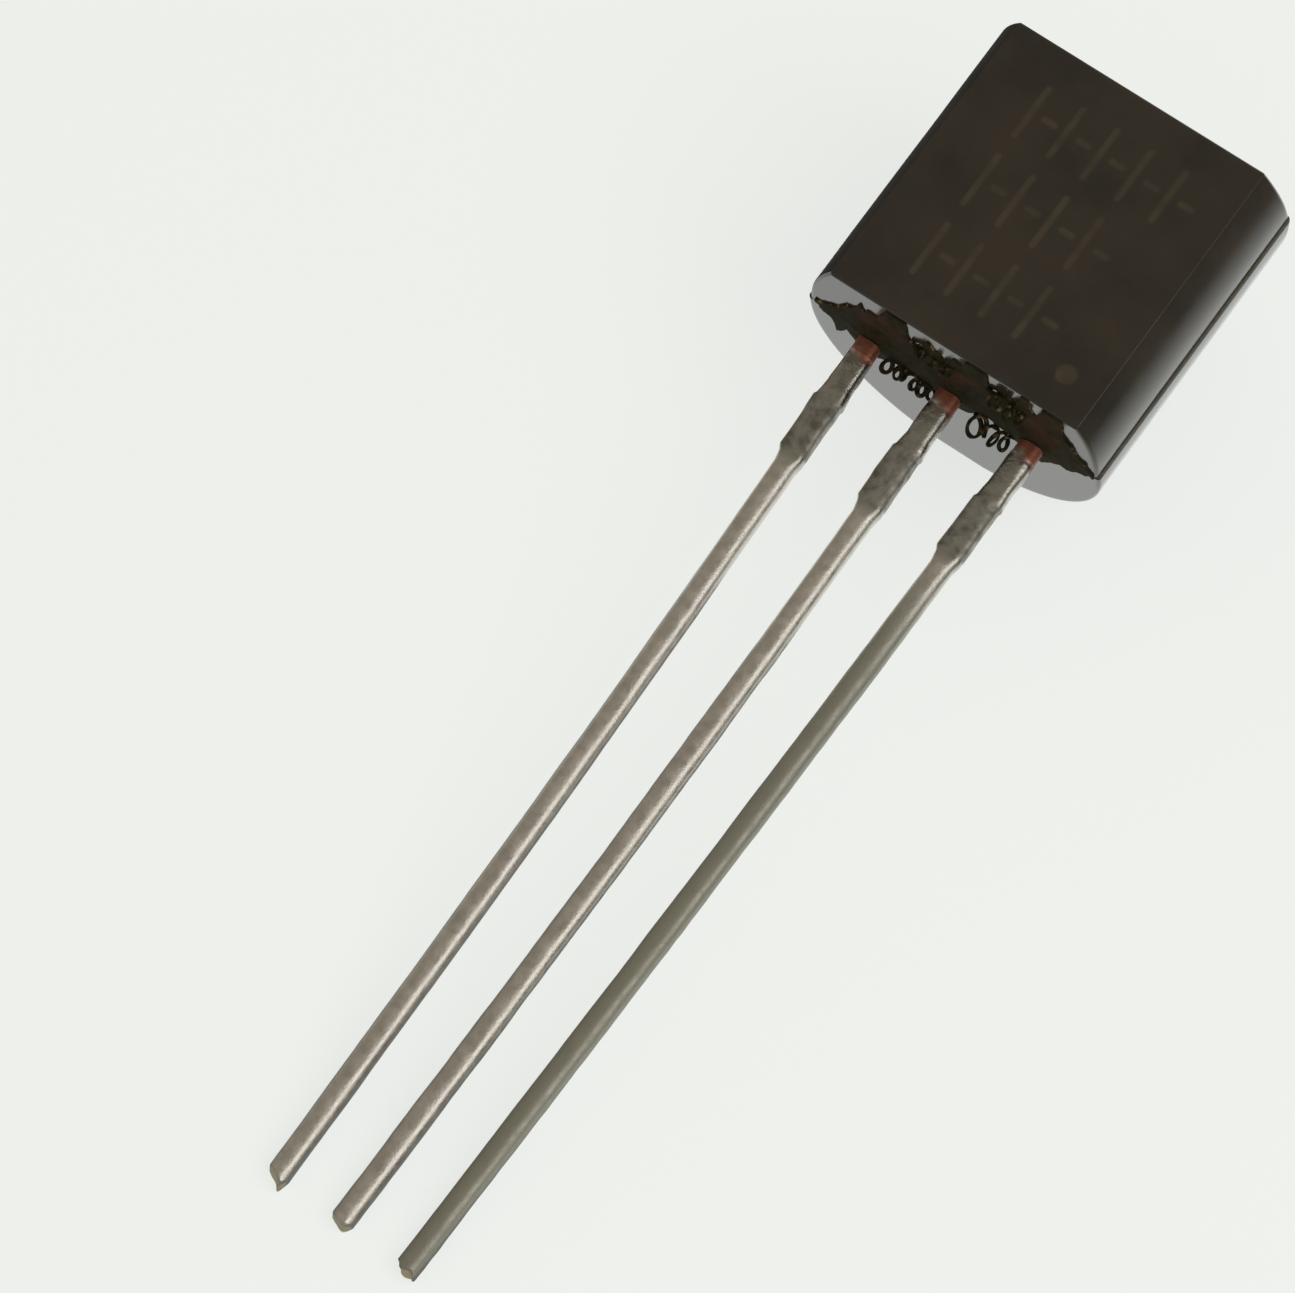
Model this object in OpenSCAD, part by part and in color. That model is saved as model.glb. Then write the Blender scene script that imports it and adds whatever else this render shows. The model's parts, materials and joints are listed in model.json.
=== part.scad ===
// Small-signal chip in a round-backed plastic package with a flat face and three tinned leads.
// The device is modelled in its own frame first: x runs across the leads, y runs up the body
// from its lead end, and z points out of the flat face. z = 0 is the middle of the leads.
// rest_pose() then lays it on its back and its lead tips, as it comes to rest on a table.

/* [Moulded body] */
// Height of the body, from its lead end to its top
body_h = 4.42; // [4:0.02:5.2]
// Radius of the round sides and of the round back
body_r = 2.27; // [2.15:0.01:2.4]
// Distance from the parting plane forward to the flat face
flat_rise = 1.19; // [1:0.01:1.4]
// Straight wall behind the parting plane, before the round back starts
back_land = 0.18; // [0.05:0.01:0.4]
// Width of the narrow flat along the middle of the round back, which the body rests on
back_flat_w = 0.7; // [0.5:0.05:1]
// Radius of the two long edges of the flat face
flat_edge_r = 0.08; // [0.03:0.01:0.2]
// Draft of the end face that the leads leave, in degrees
lead_end_draft = 1.5; // [0.5:0.5:6]
// Draft of the top end face, in degrees
top_draft = 5; // [1:0.5:8]

/* [Parting line] */
// How far the parting line stands proud of the sides and the top
seam_proud = 0.02; // [0.01:0.005:0.05]
// Width of the parting line
seam_w = 0.1; // [0.05:0.01:0.2]

/* [Flash film on the lead end] */
// How far the flash film stands proud of the lead end
flash_t = 0.03; // [0.01:0.005:0.06]
// Reach of the film in front of the parting plane, at the middle
flash_front = 0.74; // [0.3:0.02:0.9]
// Reach of the film behind the parting plane, at the middle
flash_back = 0.8; // [0.3:0.02:1.4]
// Share of the reach by which the ragged edge of the film wanders
flash_ragged = 0.16; // [0:0.02:0.2]

/* [Ejector mark on the back] */
// Diameter of the ejector mark
mark_d = 1.3; // [0.8:0.1:1.6]
// Depth of the mark below the round back, at its middle
mark_depth = 0.12; // [0.09:0.01:0.2]

/* [Lead frame metal] */
// Distance between the leads where they leave the body
pitch = 1.27; // [1.2:0.01:1.35]
// Thickness of the stamped metal
frame_t = 0.28; // [0.22:0.01:0.4]
// Width of a stem between the body and the cut tie bar, and inside the body
neck_w = 0.34; // [0.29:0.01:0.5]
// Width of a lead past the cut tie bar, before it is tinned
lead_w = 0.31; // [0.25:0.01:0.36]

/* [Tinned leads] */
// Thickness of the tin coat
coat_t = 0.01; // [0.005:0.005:0.02]
// Corner radius of a tinned lead
corner_r = 0.11; // [0.05:0.01:0.13]
// Bare metal left between the lead end of the body and the tin
bare_len = 0.26; // [0.15:0.01:0.5]
// Distance from the body to the near side of the cut tie bar
stub_start = 1.05; // [0.8:0.01:1.3]
// Distance from the body to the far side of the cut tie bar
stub_end = 1.85; // [1.6:0.01:2.2]
// How far the cut tie bar stands out on each side of a lead
stub_out = 0.04; // [0.02:0.005:0.12]
// How far the cut was off centre, which leaves the left stub longer
stub_shift = 0.02; // [0:0.005:0.03]
// Length of the left, the middle and the right lead
lead_len = [13.52, 13.5, 13.42];
// Sideways lean of each lead at its tip
lead_lean = [0.32, 0.06, -0.18];
// Sideways bow of each lead at its middle
lead_bow = [0.06, 0.06, 0.03];
// Slope of the cut across each tip; a positive cut leaves the right corner longer
tip_slope = [0.1, 0.25, -0.3];

/* [Lead frame inside the body] */
// Distance from the lead end to the foot of the die paddle
paddle_foot = 1.3; // [1:0.05:1.5]
// Width of the die paddle
paddle_w = 1.5; // [1.3:0.05:1.6]
// Height of the die paddle
paddle_h = 2; // [1.6:0.05:2.3]
// Distance from the lead end to the foot of each bond post
post_foot = 0.7; // [0.5:0.05:1]
// Width of a bond post
post_w = 0.68; // [0.5:0.01:0.72]
// Height of a bond post
post_h = 1.7; // [1.2:0.05:2.4]
// Gap between the die paddle and each bond post
post_gap = 0.22; // [0.16:0.01:0.28]
// Size of the cut corners of the paddle and the posts
frame_chamfer = 0.12; // [0.05:0.01:0.2]

/* [Die] */
// Side of the square die
die_side = 0.9; // [0.6:0.05:1.1]
// Thickness of the die
die_t = 0.2; // [0.15:0.01:0.3]
// Thickness of the adhesive under the die
attach_t = 0.03; // [0.015:0.005:0.05]
// Width of the adhesive that shows all round the die
attach_rim = 0.05; // [0.02:0.01:0.08]
// Distance from the foot of the paddle to the edge of the die
die_setback = 0.32; // [0.2:0.02:0.4]

/* [Bond wires] */
// Diameter of a bond wire
wire_d = 0.03; // [0.02:0.005:0.04]
// Diameter of the ball bond on the die
ball_d = 0.09; // [0.06:0.01:0.12]
// Height of the ball bond
ball_h = 0.025; // [0.015:0.005:0.04]
// Height of a wire loop above the die
loop_h = 0.2; // [0.12:0.01:0.3]
// Radius of the bend at the top of a wire loop
bend_r = 0.06; // [0.04:0.01:0.1]
// Distance from the edge of the die to a bond pad's centre
pad_inset = 0.12; // [0.08:0.01:0.16]

/* [Hidden] */

LEFT = 0;
CENTRE = 1;
RIGHT = 2;
eps = 0.01;
seam_z = frame_t / 2;                         // the moulds part at the front of the leads
flat_z = seam_z + flat_rise;
back_centre_z = seam_z - back_land;           // centre line of the round back
back_z = back_centre_z - sqrt(pow(body_r, 2) - pow(back_flat_w / 2, 2));
back_depth = seam_z - back_z;
back_foot_y = back_depth * tan(lead_end_draft);
back_top_y = body_h - back_depth * tan(top_draft);
tinned_t = frame_t + 2 * coat_t;

// Inner frame
paddle_top = paddle_foot + paddle_h;
post_inner = paddle_w / 2 + post_gap;         // x of the post's side that faces the paddle
post_top = post_foot + post_h;
die_y = paddle_foot + die_setback + die_side / 2;
attach_z = frame_t / 2;
die_z = attach_z + attach_t;
die_top_z = die_z + die_t;

// Rest pose: the lower edge of the back flat and the undersides of the lead tips meet the table.
rest_len = lead_len[CENTRE];
rest_tilt = atan((-back_z - tinned_t / 2) / (rest_len + back_foot_y));
rest_z = -back_z * cos(rest_tilt) - back_foot_y * sin(rest_tilt);
rest_back_y = back_top_y * cos(rest_tilt) - back_z * sin(rest_tilt);
rest_front_y = -max(lead_len) * cos(rest_tilt) - tinned_t / 2 * sin(rest_tilt);
rest_y = -(rest_back_y + rest_front_y) / 2;

module rest_pose() {
    translate([0, rest_y, rest_z]) rotate([rest_tilt, 0, 0]) children();
}

// ---- Moulded body ----

// Cross-section of the body: a round front cut by the flat face, and a round back on a short
// land, cut by the narrow back flat.
module body_section() {
    corner_y = flat_z - flat_edge_r;
    corner_x = sqrt(pow(body_r - flat_edge_r, 2) - pow(flat_rise - flat_edge_r, 2));
    tangent_rise = (flat_rise - flat_edge_r) * body_r / (body_r - flat_edge_r);
    intersection() {
        translate([0, seam_z]) circle(body_r, $fn = 120);
        translate([-body_r, seam_z]) square([2 * body_r, tangent_rise]);
    }
    translate([-corner_x, seam_z]) square([2 * corner_x, flat_rise]);
    for (side = [-1, 1])
        translate([side * corner_x, corner_y]) circle(flat_edge_r, $fn = 24);
    translate([-body_r, back_centre_z]) square([2 * body_r, back_land]);
    intersection() {
        translate([0, back_centre_z]) circle(body_r, $fn = 120);
        translate([-body_r, back_z]) square([2 * body_r, back_centre_z - back_z]);
    }
}

// Side view of the body, which gives both ends their draft on either side of the parting plane.
module body_profile() {
    polygon([
        [flat_rise * tan(lead_end_draft), flat_z],
        [0, seam_z],
        [back_foot_y, back_z],
        [back_top_y, back_z],
        [body_h, seam_z],
        [body_h - flat_rise * tan(top_draft), flat_z]
    ]);
}

module moulded_shape() {
    intersection() {
        translate([0, body_h, 0]) rotate([90, 0, 0]) linear_extrude(body_h) body_section();
        translate([-body_r, 0, 0]) rotate([90, 0, 90]) linear_extrude(2 * body_r) body_profile();
    }
}

module parting_line() {
    translate([-body_r - seam_proud, 0, seam_z - seam_w / 2])
        cube([2 * (body_r + seam_proud), body_h + seam_proud, seam_w]);
}

// Ragged outline of the flash film: two arches over the parting plane with a wandering edge.
function arch(x) = pow(max(0, 1 - pow(x / body_r, 2)), 0.6);
function wander(x, phase) =
    1 + flash_ragged * (0.6 * sin(430 * x + phase) + 0.4 * sin(1130 * x + 2 * phase));
function film_edge(reach, x, phase) = seam_w / 2 + reach * arch(x) * wander(x, phase);

module flash_outline() {
    steps = 60;
    xs = [for (k = [0 : steps]) body_r * (2 * k / steps - 1)];
    front = [for (x = xs) [x, seam_z + film_edge(flash_front, x, 40)]];
    back = [for (k = [steps : -1 : 0]) [xs[k], seam_z - film_edge(flash_back, xs[k], 200)]];
    polygon(concat(front, back));
}

module flash_film() {
    root = (max(flash_front, flash_back) + seam_w) * tan(lead_end_draft) + 2 * eps;
    translate([0, root, 0]) rotate([90, 0, 0]) linear_extrude(root + flash_t) flash_outline();
}

module ejector_mark() {
    translate([0, body_h / 2, back_z - eps]) cylinder(d = mark_d, h = mark_depth + eps, $fn = 48);
}

module moulded_body() {
    color([0.17, 0.15, 0.13]) rest_pose() difference() {
        union() {
            moulded_shape();
            parting_line();
            flash_film();
        }
        ejector_mark();
        for (i = [LEFT : RIGHT]) stamped_lead(i);
        adhesive_block();
        die_block();
        right_wire();
        paddle_wire();
    }
}

// ---- Lead frame ----

function root_x(i) = (i - CENTRE) * pitch;

// Rectangle with four cut corners, from its low corner.
module chamfered_plate(size, cut) {
    polygon([
        [cut, 0], [size[0] - cut, 0], [size[0], cut], [size[0], size[1] - cut],
        [size[0] - cut, size[1]], [cut, size[1]], [0, size[1] - cut], [0, cut]
    ]);
}

module post_outline() {
    translate([-post_inner - post_w, post_foot]) chamfered_plate([post_w, post_h], frame_chamfer);
}

module paddle_outline() {
    translate([-paddle_w / 2, paddle_foot]) chamfered_plate([paddle_w, paddle_h], frame_chamfer);
}

// Stamped metal of one lead: the stem through the lead end, and the post or paddle on it.
module stamped_lead(i) {
    stem_top = i == CENTRE ? paddle_foot : post_foot;
    translate([0, 0, -frame_t / 2]) linear_extrude(frame_t) {
        translate([root_x(i) - neck_w / 2, -bare_len - 2 * eps])
            square([neck_w, stem_top + frame_chamfer + bare_len + 2 * eps]);
        if (i == LEFT) post_outline();
        if (i == CENTRE) paddle_outline();
        if (i == RIGHT) mirror([1, 0]) post_outline();
    }
}

// Centre line of a tinned lead at the distance s from the lead end of the body.
// The long and short leads bend a little, so that every tip meets the table.
function tip_lift(i) = (lead_len[i] - rest_len) * tan(rest_tilt);
function lead_x(i, s) =
    root_x(i) + lead_lean[i] * s / lead_len[i] + lead_bow[i] * sin(180 * s / lead_len[i]);
function lead_z(i, s) = tip_lift(i) * pow(s / lead_len[i], 2);

// Rounded rectangle of width w and thickness t, as a ring of [across, up] points.
corner_steps = 4;
function section_ring(w, t) = [
    for (q = [0 : 3], k = [0 : corner_steps])
        let (a = 90 * (q + k / corner_steps),
             cx = (q == 0 || q == 3 ? 1 : -1) * (w / 2 - corner_r),
             cz = (q < 2 ? 1 : -1) * (t / 2 - corner_r))
        [cx + corner_r * cos(a), cz + corner_r * sin(a)]
];

// Stations along a tinned lead: [distance, width, sideways shift of the section].
tinned_neck = neck_w + 2 * coat_t;
tinned_w = lead_w + 2 * coat_t;
stub_w = tinned_w + 2 * stub_out;
stub_step = 0.04;
shoulder = 0.15;
straight_steps = 12;
function stations(i) =
    let (run = lead_len[i] - stub_end - shoulder)
    concat(
        [[bare_len, tinned_neck, 0],
         [stub_start - stub_step, tinned_neck, 0],
         [stub_start, stub_w, -stub_shift],
         [stub_end, stub_w, -stub_shift],
         [stub_end + stub_step, (stub_w + tinned_w) / 2, -stub_shift / 2]],
        [for (k = [0 : straight_steps])
            [stub_end + shoulder + run * k / straight_steps, tinned_w, 0]]);

// The last ring lies in the slanting plane of the cut, with its longest corner at the full length.
function lead_ring(i, st, cut) = [
    for (p = section_ring(st[1], tinned_t))
        [lead_x(i, st[0]) + st[2] + p[0],
         -st[0] + (cut ? abs(tip_slope[i]) * st[1] / 2 - tip_slope[i] * p[0] : 0),
         lead_z(i, st[0]) + p[1]]
];

// Closed tube through a list of rings that all have the same number of points.
module skin(rings) {
    n = len(rings[0]);
    m = len(rings);
    polyhedron(
        points = [for (ring = rings, p = ring) p],
        faces = concat(
            [[for (k = [0 : n - 1]) k]],
            [for (r = [0 : m - 2], k = [0 : n - 1])
                [r * n + k, (r + 1) * n + k, (r + 1) * n + (k + 1) % n, r * n + (k + 1) % n]],
            [[for (k = [n - 1 : -1 : 0]) (m - 1) * n + k]]));
}

module tinned_lead(i) {
    st = stations(i);
    last = len(st) - 1;
    skin([for (k = [0 : last]) lead_ring(i, st[k], k == last)]);
}

module lead(i) {
    color([0.62, 0.59, 0.54]) rest_pose() union() {
        stamped_lead(i);
        tinned_lead(i);
    }
}

// ---- Die, adhesive and bond wires ----

module adhesive_block() {
    side = die_side + 2 * attach_rim;
    translate([-side / 2, die_y - side / 2, attach_z]) cube([side, side, attach_t]);
}

module die_block() {
    translate([-die_side / 2, die_y - die_side / 2, die_z]) cube([die_side, die_side, die_t]);
}

// A bond wire in the upright plane from a pad on the die to a point on the frame metal: a ball,
// a neck straight up, a bend, and a straight span that ends in the surface of the metal. The span
// leaves the bend at its tangent, whose angle is kept to a tenth of a degree.
module bond_wire(from, to) {
    run = [to[0] - from[0], to[1] - from[1]];
    neck_h = loop_h - bend_r;
    target = [norm(run) - bend_r, to[2] - from[2] - neck_h];     // seen from the bend's centre
    tangent = round(10 * (atan2(target[1], target[0]) + acos(bend_r / norm(target)))) / 10;
    room = norm(run) + 2 * loop_h;
    translate(from) rotate([0, 0, atan2(run[1], run[0])]) intersection() {
        union() {
            cylinder(d = ball_d, h = ball_h, $fn = 32);
            cylinder(d = wire_d, h = neck_h, $fn = 24);
            translate([bend_r, 0, neck_h]) rotate([90, -tangent, 0]) {
                rotate_extrude(angle = 180 - tangent, $fn = 64)
                    translate([bend_r, 0]) circle(d = wire_d, $fn = 24);
                translate([bend_r, 0]) rotate([90, 0, 0])
                    cylinder(d = wire_d, h = room, $fn = 24);
            }
        }
        translate([-room, -room, to[2] - from[2]]) cube([3 * room, 2 * room, 2 * room]);
    }
}

module right_wire() {
    from = [die_side / 2 - pad_inset, die_y - die_side / 4, die_top_z];
    to = [post_inner + post_w / 2, post_foot + post_h / 2, frame_t / 2];
    bond_wire(from, to);
}

module paddle_wire() {
    die_edge = die_y + die_side / 2;
    from = [-die_side / 4, die_edge - pad_inset, die_top_z];
    to = [-die_side / 4, (die_edge + attach_rim + paddle_top) / 2, frame_t / 2];
    bond_wire(from, to);
}

module left_lead() { lead(LEFT); }
module centre_lead_with_paddle() { lead(CENTRE); }
module right_lead() { lead(RIGHT); }
module die() { color([0.35, 0.37, 0.42]) rest_pose() die_block(); }
module die_adhesive() { color([0.85, 0.83, 0.78]) rest_pose() adhesive_block(); }
module bond_wire_to_right_lead() { color([0.85, 0.68, 0.25]) rest_pose() right_wire(); }
module bond_wire_to_paddle() { color([0.85, 0.68, 0.25]) rest_pose() paddle_wire(); }

moulded_body();
left_lead();
centre_lead_with_paddle();
right_lead();
die();
die_adhesive();
bond_wire_to_right_lead();
bond_wire_to_paddle();
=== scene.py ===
import json
import logging
import math
from dataclasses import dataclass, field
from enum import Enum
from functools import cache
from typing import Any

import bpy
import numpy as np
from mathutils import Matrix, Vector


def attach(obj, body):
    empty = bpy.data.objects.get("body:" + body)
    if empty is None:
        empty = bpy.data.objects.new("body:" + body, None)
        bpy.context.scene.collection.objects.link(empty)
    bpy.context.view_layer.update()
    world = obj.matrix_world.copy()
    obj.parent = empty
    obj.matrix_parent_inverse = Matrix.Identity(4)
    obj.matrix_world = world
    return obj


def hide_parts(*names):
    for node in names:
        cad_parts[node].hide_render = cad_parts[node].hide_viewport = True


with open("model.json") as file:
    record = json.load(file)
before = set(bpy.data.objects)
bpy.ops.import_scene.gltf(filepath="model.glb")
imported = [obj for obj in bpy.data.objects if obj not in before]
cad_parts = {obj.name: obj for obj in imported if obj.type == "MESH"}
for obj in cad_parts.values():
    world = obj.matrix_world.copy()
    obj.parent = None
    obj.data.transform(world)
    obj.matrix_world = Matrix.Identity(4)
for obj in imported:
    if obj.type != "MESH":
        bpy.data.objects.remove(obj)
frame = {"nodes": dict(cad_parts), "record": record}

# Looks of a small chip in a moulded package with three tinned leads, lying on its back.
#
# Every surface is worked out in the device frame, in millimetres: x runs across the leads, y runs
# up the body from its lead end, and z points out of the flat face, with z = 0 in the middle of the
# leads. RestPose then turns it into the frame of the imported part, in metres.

Array = np.ndarray
Color = tuple[float, float, float]
Point = tuple[float, float, float]
Pair = tuple[float, float]
Knots = list[Pair]

LOG = logging.getLogger("chip")
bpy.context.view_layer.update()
MM = 0.001
PITCH = 1.27                        # from one lead to the next
SEAM_Z = 0.14                       # the two moulds part at the front of the leads
TINY = 1e-6                         # keeps a comparison clear of rounding


# ---- Small tools ----


def eased(t: Array | float) -> Array:
    """A step that eases in and out: 3t^2 - 2t^3 of t held between 0 and 1."""
    t = np.clip(t, 0.0, 1.0)
    return t * t * (3 - 2 * t)


def knotted(knots: Knots, at: Array) -> Array:
    """The broken line through the knots (place, value), read at the given places."""
    places, values = np.array(knots).T
    return np.interp(at, places, values)


class SpaceNoise:
    """Smooth noise in space, from a seeded lattice of random values.

    A whole number added to the points reads another part of the same pattern.
    """

    CELLS = 32
    LAYER_SHIFT = 7.3

    def __init__(self, seed: int) -> None:
        """Fills the lattice.

        Args:
            seed: Picks the pattern.
        """
        self.table = np.random.default_rng(seed).uniform(-1, 1, (self.CELLS,) * 3)

    def __call__(self, points: Array, size: float | Point) -> Array:
        """Samples the noise.

        The value is the blend of the eight lattice values round a point, each weight eased.

        Args:
            points: Any array of points, with three numbers in its last axis.
            size: Size of one lattice cell, or one size per axis.

        Returns:
            One value from -1 to 1 per point.
        """
        at = np.asarray(points, float) / np.asarray(size, float)
        low = np.floor(at).astype(int)
        part = eased(at - low)
        total = np.zeros(at.shape[:-1])
        for corner in range(8):
            step = np.array([corner >> 2 & 1, corner >> 1 & 1, corner & 1])
            weight = np.prod(np.where(step, part, 1 - part), axis=-1)
            i, j, k = np.moveaxis((low + step) % self.CELLS, -1, 0)
            total += weight * self.table[i, j, k]
        return total

    def layered(self, points: Array, size: float | Point, layers: int = 3) -> Array:
        """Sum of layers of the noise, each half as large and half as strong as the one before."""
        size = np.asarray(size, float)
        return sum(self(points + self.LAYER_SHIFT * k, size / 2**k) / 2**k for k in range(layers))


@dataclass(frozen=True)
class RestPose:
    """How the chip lies: the tilt about x, and where its own origin ends up.

    Attributes:
        tilt: Angle in radians between the leads and the table.
        origin: Place of the device frame's origin, in metres.
    """

    tilt: float
    origin: Point

    @classmethod
    def of_record(cls, record: dict[str, Any]) -> "RestPose":
        """Reads the pose from the mount at the roots of the leads, whose axis runs along them."""
        root = next(m for m in record["mounts"] if m["name"] == "lead_row")
        return cls(math.atan2(-root["axis"][2], -root["axis"][1]), tuple(root["pos_m"]))

    @property
    def turn(self) -> Array:
        """The rotation by the tilt about x."""
        return np.array(Matrix.Rotation(self.tilt, 3, "X"))

    def place(self, points: Array) -> Array:
        """Turns points by the tilt, scales them to metres and shifts them to the origin."""
        return np.asarray(points, float) @ self.turn.T * MM + self.origin


POSE = RestPose.of_record(frame["record"])


def in_scene(name: str, data: bpy.types.ID) -> bpy.types.Object:
    """Makes an object and links it to the scene.

    Args:
        name: Name of the object.
        data: Its mesh, camera or light.

    Returns:
        The object, at the origin.
    """
    made = bpy.data.objects.new(name, data)
    bpy.context.scene.collection.objects.link(made)
    return made


@dataclass
class Skin:
    """A closed surface.

    Attributes:
        points: Its points in the device frame.
        faces: Arrays of corner numbers, one array for each number of corners or part.
        values: One value per point, by name.
    """

    points: Array
    faces: list[Array]
    values: dict[str, Array] = field(default_factory=dict)

    @classmethod
    def tube(cls, rings: Array, **values: Array) -> "Skin":
        """Joins a row of rings into a closed tube.

        Point k of each ring is joined to point k of the next, and each end is a fan round the
        middle of its ring. The faces are turned over if the volume they enclose is negative.

        Args:
            rings: Points in an array of shape (rings, points per ring, 3).
            values: Arrays of shape (rings, points per ring) to keep on the points.

        Returns:
            The closed surface.
        """
        rows, columns = rings.shape[:2]
        middles = np.stack([rings[0].mean(0), rings[-1].mean(0)])
        points = np.concatenate([rings.reshape(-1, 3), middles])
        row, column = np.meshgrid(np.arange(rows - 1), np.arange(columns), indexing="ij")
        after = (column + 1) % columns
        near, far = row * columns, (row + 1) * columns
        quads = np.stack([near + column, near + after, far + after, far + column], -1).reshape(-1, 4)
        first, second = np.arange(columns), (np.arange(columns) + 1) % columns
        last = (rows - 1) * columns
        start = np.stack([np.full(columns, rows * columns), second, first], -1)
        end = np.stack([np.full(columns, rows * columns + 1), last + first, last + second], -1)
        faces = [quads, start, end]
        corners = np.concatenate([quads[:, [0, 1, 2]], quads[:, [0, 2, 3]], start, end])
        a, b, c = np.moveaxis(points[corners], 1, 0)
        if np.einsum("ij,ij->", a, np.cross(b, c)) < 0:
            faces = [f[:, ::-1] for f in faces]
        kept = {name: np.concatenate([v.ravel(), [v[0].mean(), v[-1].mean()]])
                for name, v in values.items()}
        return cls(points, faces, kept)

    @classmethod
    def joined(cls, skins: "list[Skin]") -> "Skin":
        """Puts several surfaces into one, with their faces renumbered.

        Args:
            skins: The surfaces, each with the same named values.

        Returns:
            One surface of them all.
        """
        starts = np.cumsum([0] + [len(s.points) for s in skins])
        faces = [f + start for s, start in zip(skins, starts) for f in s.faces]
        values = {name: np.concatenate([s.values[name] for s in skins]) for name in skins[0].values}
        return cls(np.concatenate([s.points for s in skins]), faces, values)

    def made(self, name: str, sharp: float = 180.0) -> bpy.types.Object:
        """Makes the mesh object, placed by the rest pose in its own vertices.

        Args:
            name: Name of the piece.
            sharp: Edges that bend by more than this many degrees are shaded sharp.

        Returns:
            The object, at the origin.
        """
        mesh = bpy.data.meshes.new(name)
        corners = np.concatenate([f.ravel() for f in self.faces])
        sides = np.concatenate([np.full(len(f), f.shape[1]) for f in self.faces])
        mesh.vertices.add(len(self.points))
        mesh.vertices.foreach_set("co", POSE.place(self.points).ravel())
        mesh.loops.add(len(corners))
        mesh.loops.foreach_set("vertex_index", corners.astype(np.int32))
        mesh.polygons.add(len(sides))
        mesh.polygons.foreach_set("loop_start", (np.cumsum(sides) - sides).astype(np.int32))
        mesh.update(calc_edges=True)
        mesh.shade_smooth()
        if sharp < 180:
            mesh.set_sharp_from_angle(angle=math.radians(sharp))
        for label, value in self.values.items():
            mesh.attributes.new(label, "FLOAT", "POINT").data.foreach_set("value", value)
        return in_scene(name, mesh)


# ---- Finishes ----


class Nodes:
    """A node tree with short calls that add nodes and join them.

    A Mix node has a set of sockets for each kind of value. The numbers are those for colours.
    """

    MIX_FIRST = 6
    MIX_SECOND = 7
    MIX_RESULT = 2

    def __init__(self, tree: bpy.types.NodeTree) -> None:
        """Starts from an empty tree."""
        self.tree = tree
        tree.nodes.clear()

    def add(self, kind: str, inputs: dict[str | int, Any] | None = None, **settings: Any) -> Any:
        """Adds a node.

        Args:
            kind: Type of the node, without the word ShaderNode.
            inputs: A value, or a socket to join, for each named or numbered input.
            settings: Properties of the node.

        Returns:
            The node.
        """
        node = self.tree.nodes.new(kind if kind.startswith("NodeGroup") else "ShaderNode" + kind)
        for name, value in settings.items():
            setattr(node, name, value)
        for name, value in (inputs or {}).items():
            if isinstance(value, bpy.types.NodeSocket):
                self.tree.links.new(value, node.inputs[name])
            else:
                node.inputs[name].default_value = value
        return node

    def mix(self, factor: Any, first: Any, second: Any, blend: str = "MIX") -> Any:
        """Blends two colours.

        Args:
            factor: Share of the second colour, as a number or a socket.
            first: A colour or a socket.
            second: A colour or a socket.
            blend: How they are blended.

        Returns:
            The socket of the blend.
        """
        first, second = (c if isinstance(c, bpy.types.NodeSocket) else (*c, 1.0)
                         for c in (first, second))
        node = self.add("Mix", {0: factor, self.MIX_FIRST: first, self.MIX_SECOND: second},
                        data_type="RGBA", blend_type=blend)
        return node.outputs[self.MIX_RESULT]

    def ranged(self, value: Any, low: float, high: float, to_low: float, to_high: float) -> Any:
        """A value carried from one range to another and held there, as a socket."""
        node = self.add("MapRange", {"Value": value, "From Min": low, "From Max": high,
                                     "To Min": to_low, "To Max": to_high})
        return node.outputs["Result"]

    def times(self, first: Any, second: Any) -> Any:
        """The product of two values, as a socket."""
        return self.add("Math", {0: first, 1: second}, operation="MULTIPLY").outputs[0]

    def plus(self, first: Any, second: Any) -> Any:
        """The sum of two values, as a socket."""
        return self.add("Math", {0: first, 1: second}, operation="ADD").outputs[0]

    def painted(self, name: str) -> Any:
        """A value kept on the points of the mesh, as a socket."""
        return self.add("Attribute", attribute_name=name).outputs["Fac"]

    def place(self) -> Any:
        """Object coordinates, as a socket."""
        return self.add("TexCoord").outputs["Object"]


def blank_material(name: str) -> tuple[bpy.types.Material, Nodes]:
    """Starts a material.

    Args:
        name: Name of the material.

    Returns:
        The material, and its empty tree for adding nodes.
    """
    material = bpy.data.materials.new(name)
    material.use_nodes = True
    return material, Nodes(material.node_tree)


def group(name: str, inputs: dict[str, tuple[str, Any]],
          outputs: dict[str, str]) -> tuple[bpy.types.NodeTree, Nodes]:
    """Starts a shader node group.

    Args:
        name: Name of the group.
        inputs: Socket type and first value of each named input.
        outputs: Socket type of each named output.

    Returns:
        The group, and its tree for adding nodes.
    """
    tree = bpy.data.node_groups.new(name, "ShaderNodeTree")
    for label, (kind, value) in inputs.items():
        socket = tree.interface.new_socket(label, in_out="INPUT", socket_type=kind)
        if value is not None:
            socket.default_value = value
    for label, kind in outputs.items():
        tree.interface.new_socket(label, in_out="OUTPUT", socket_type=kind)
    return tree, Nodes(tree)


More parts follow.
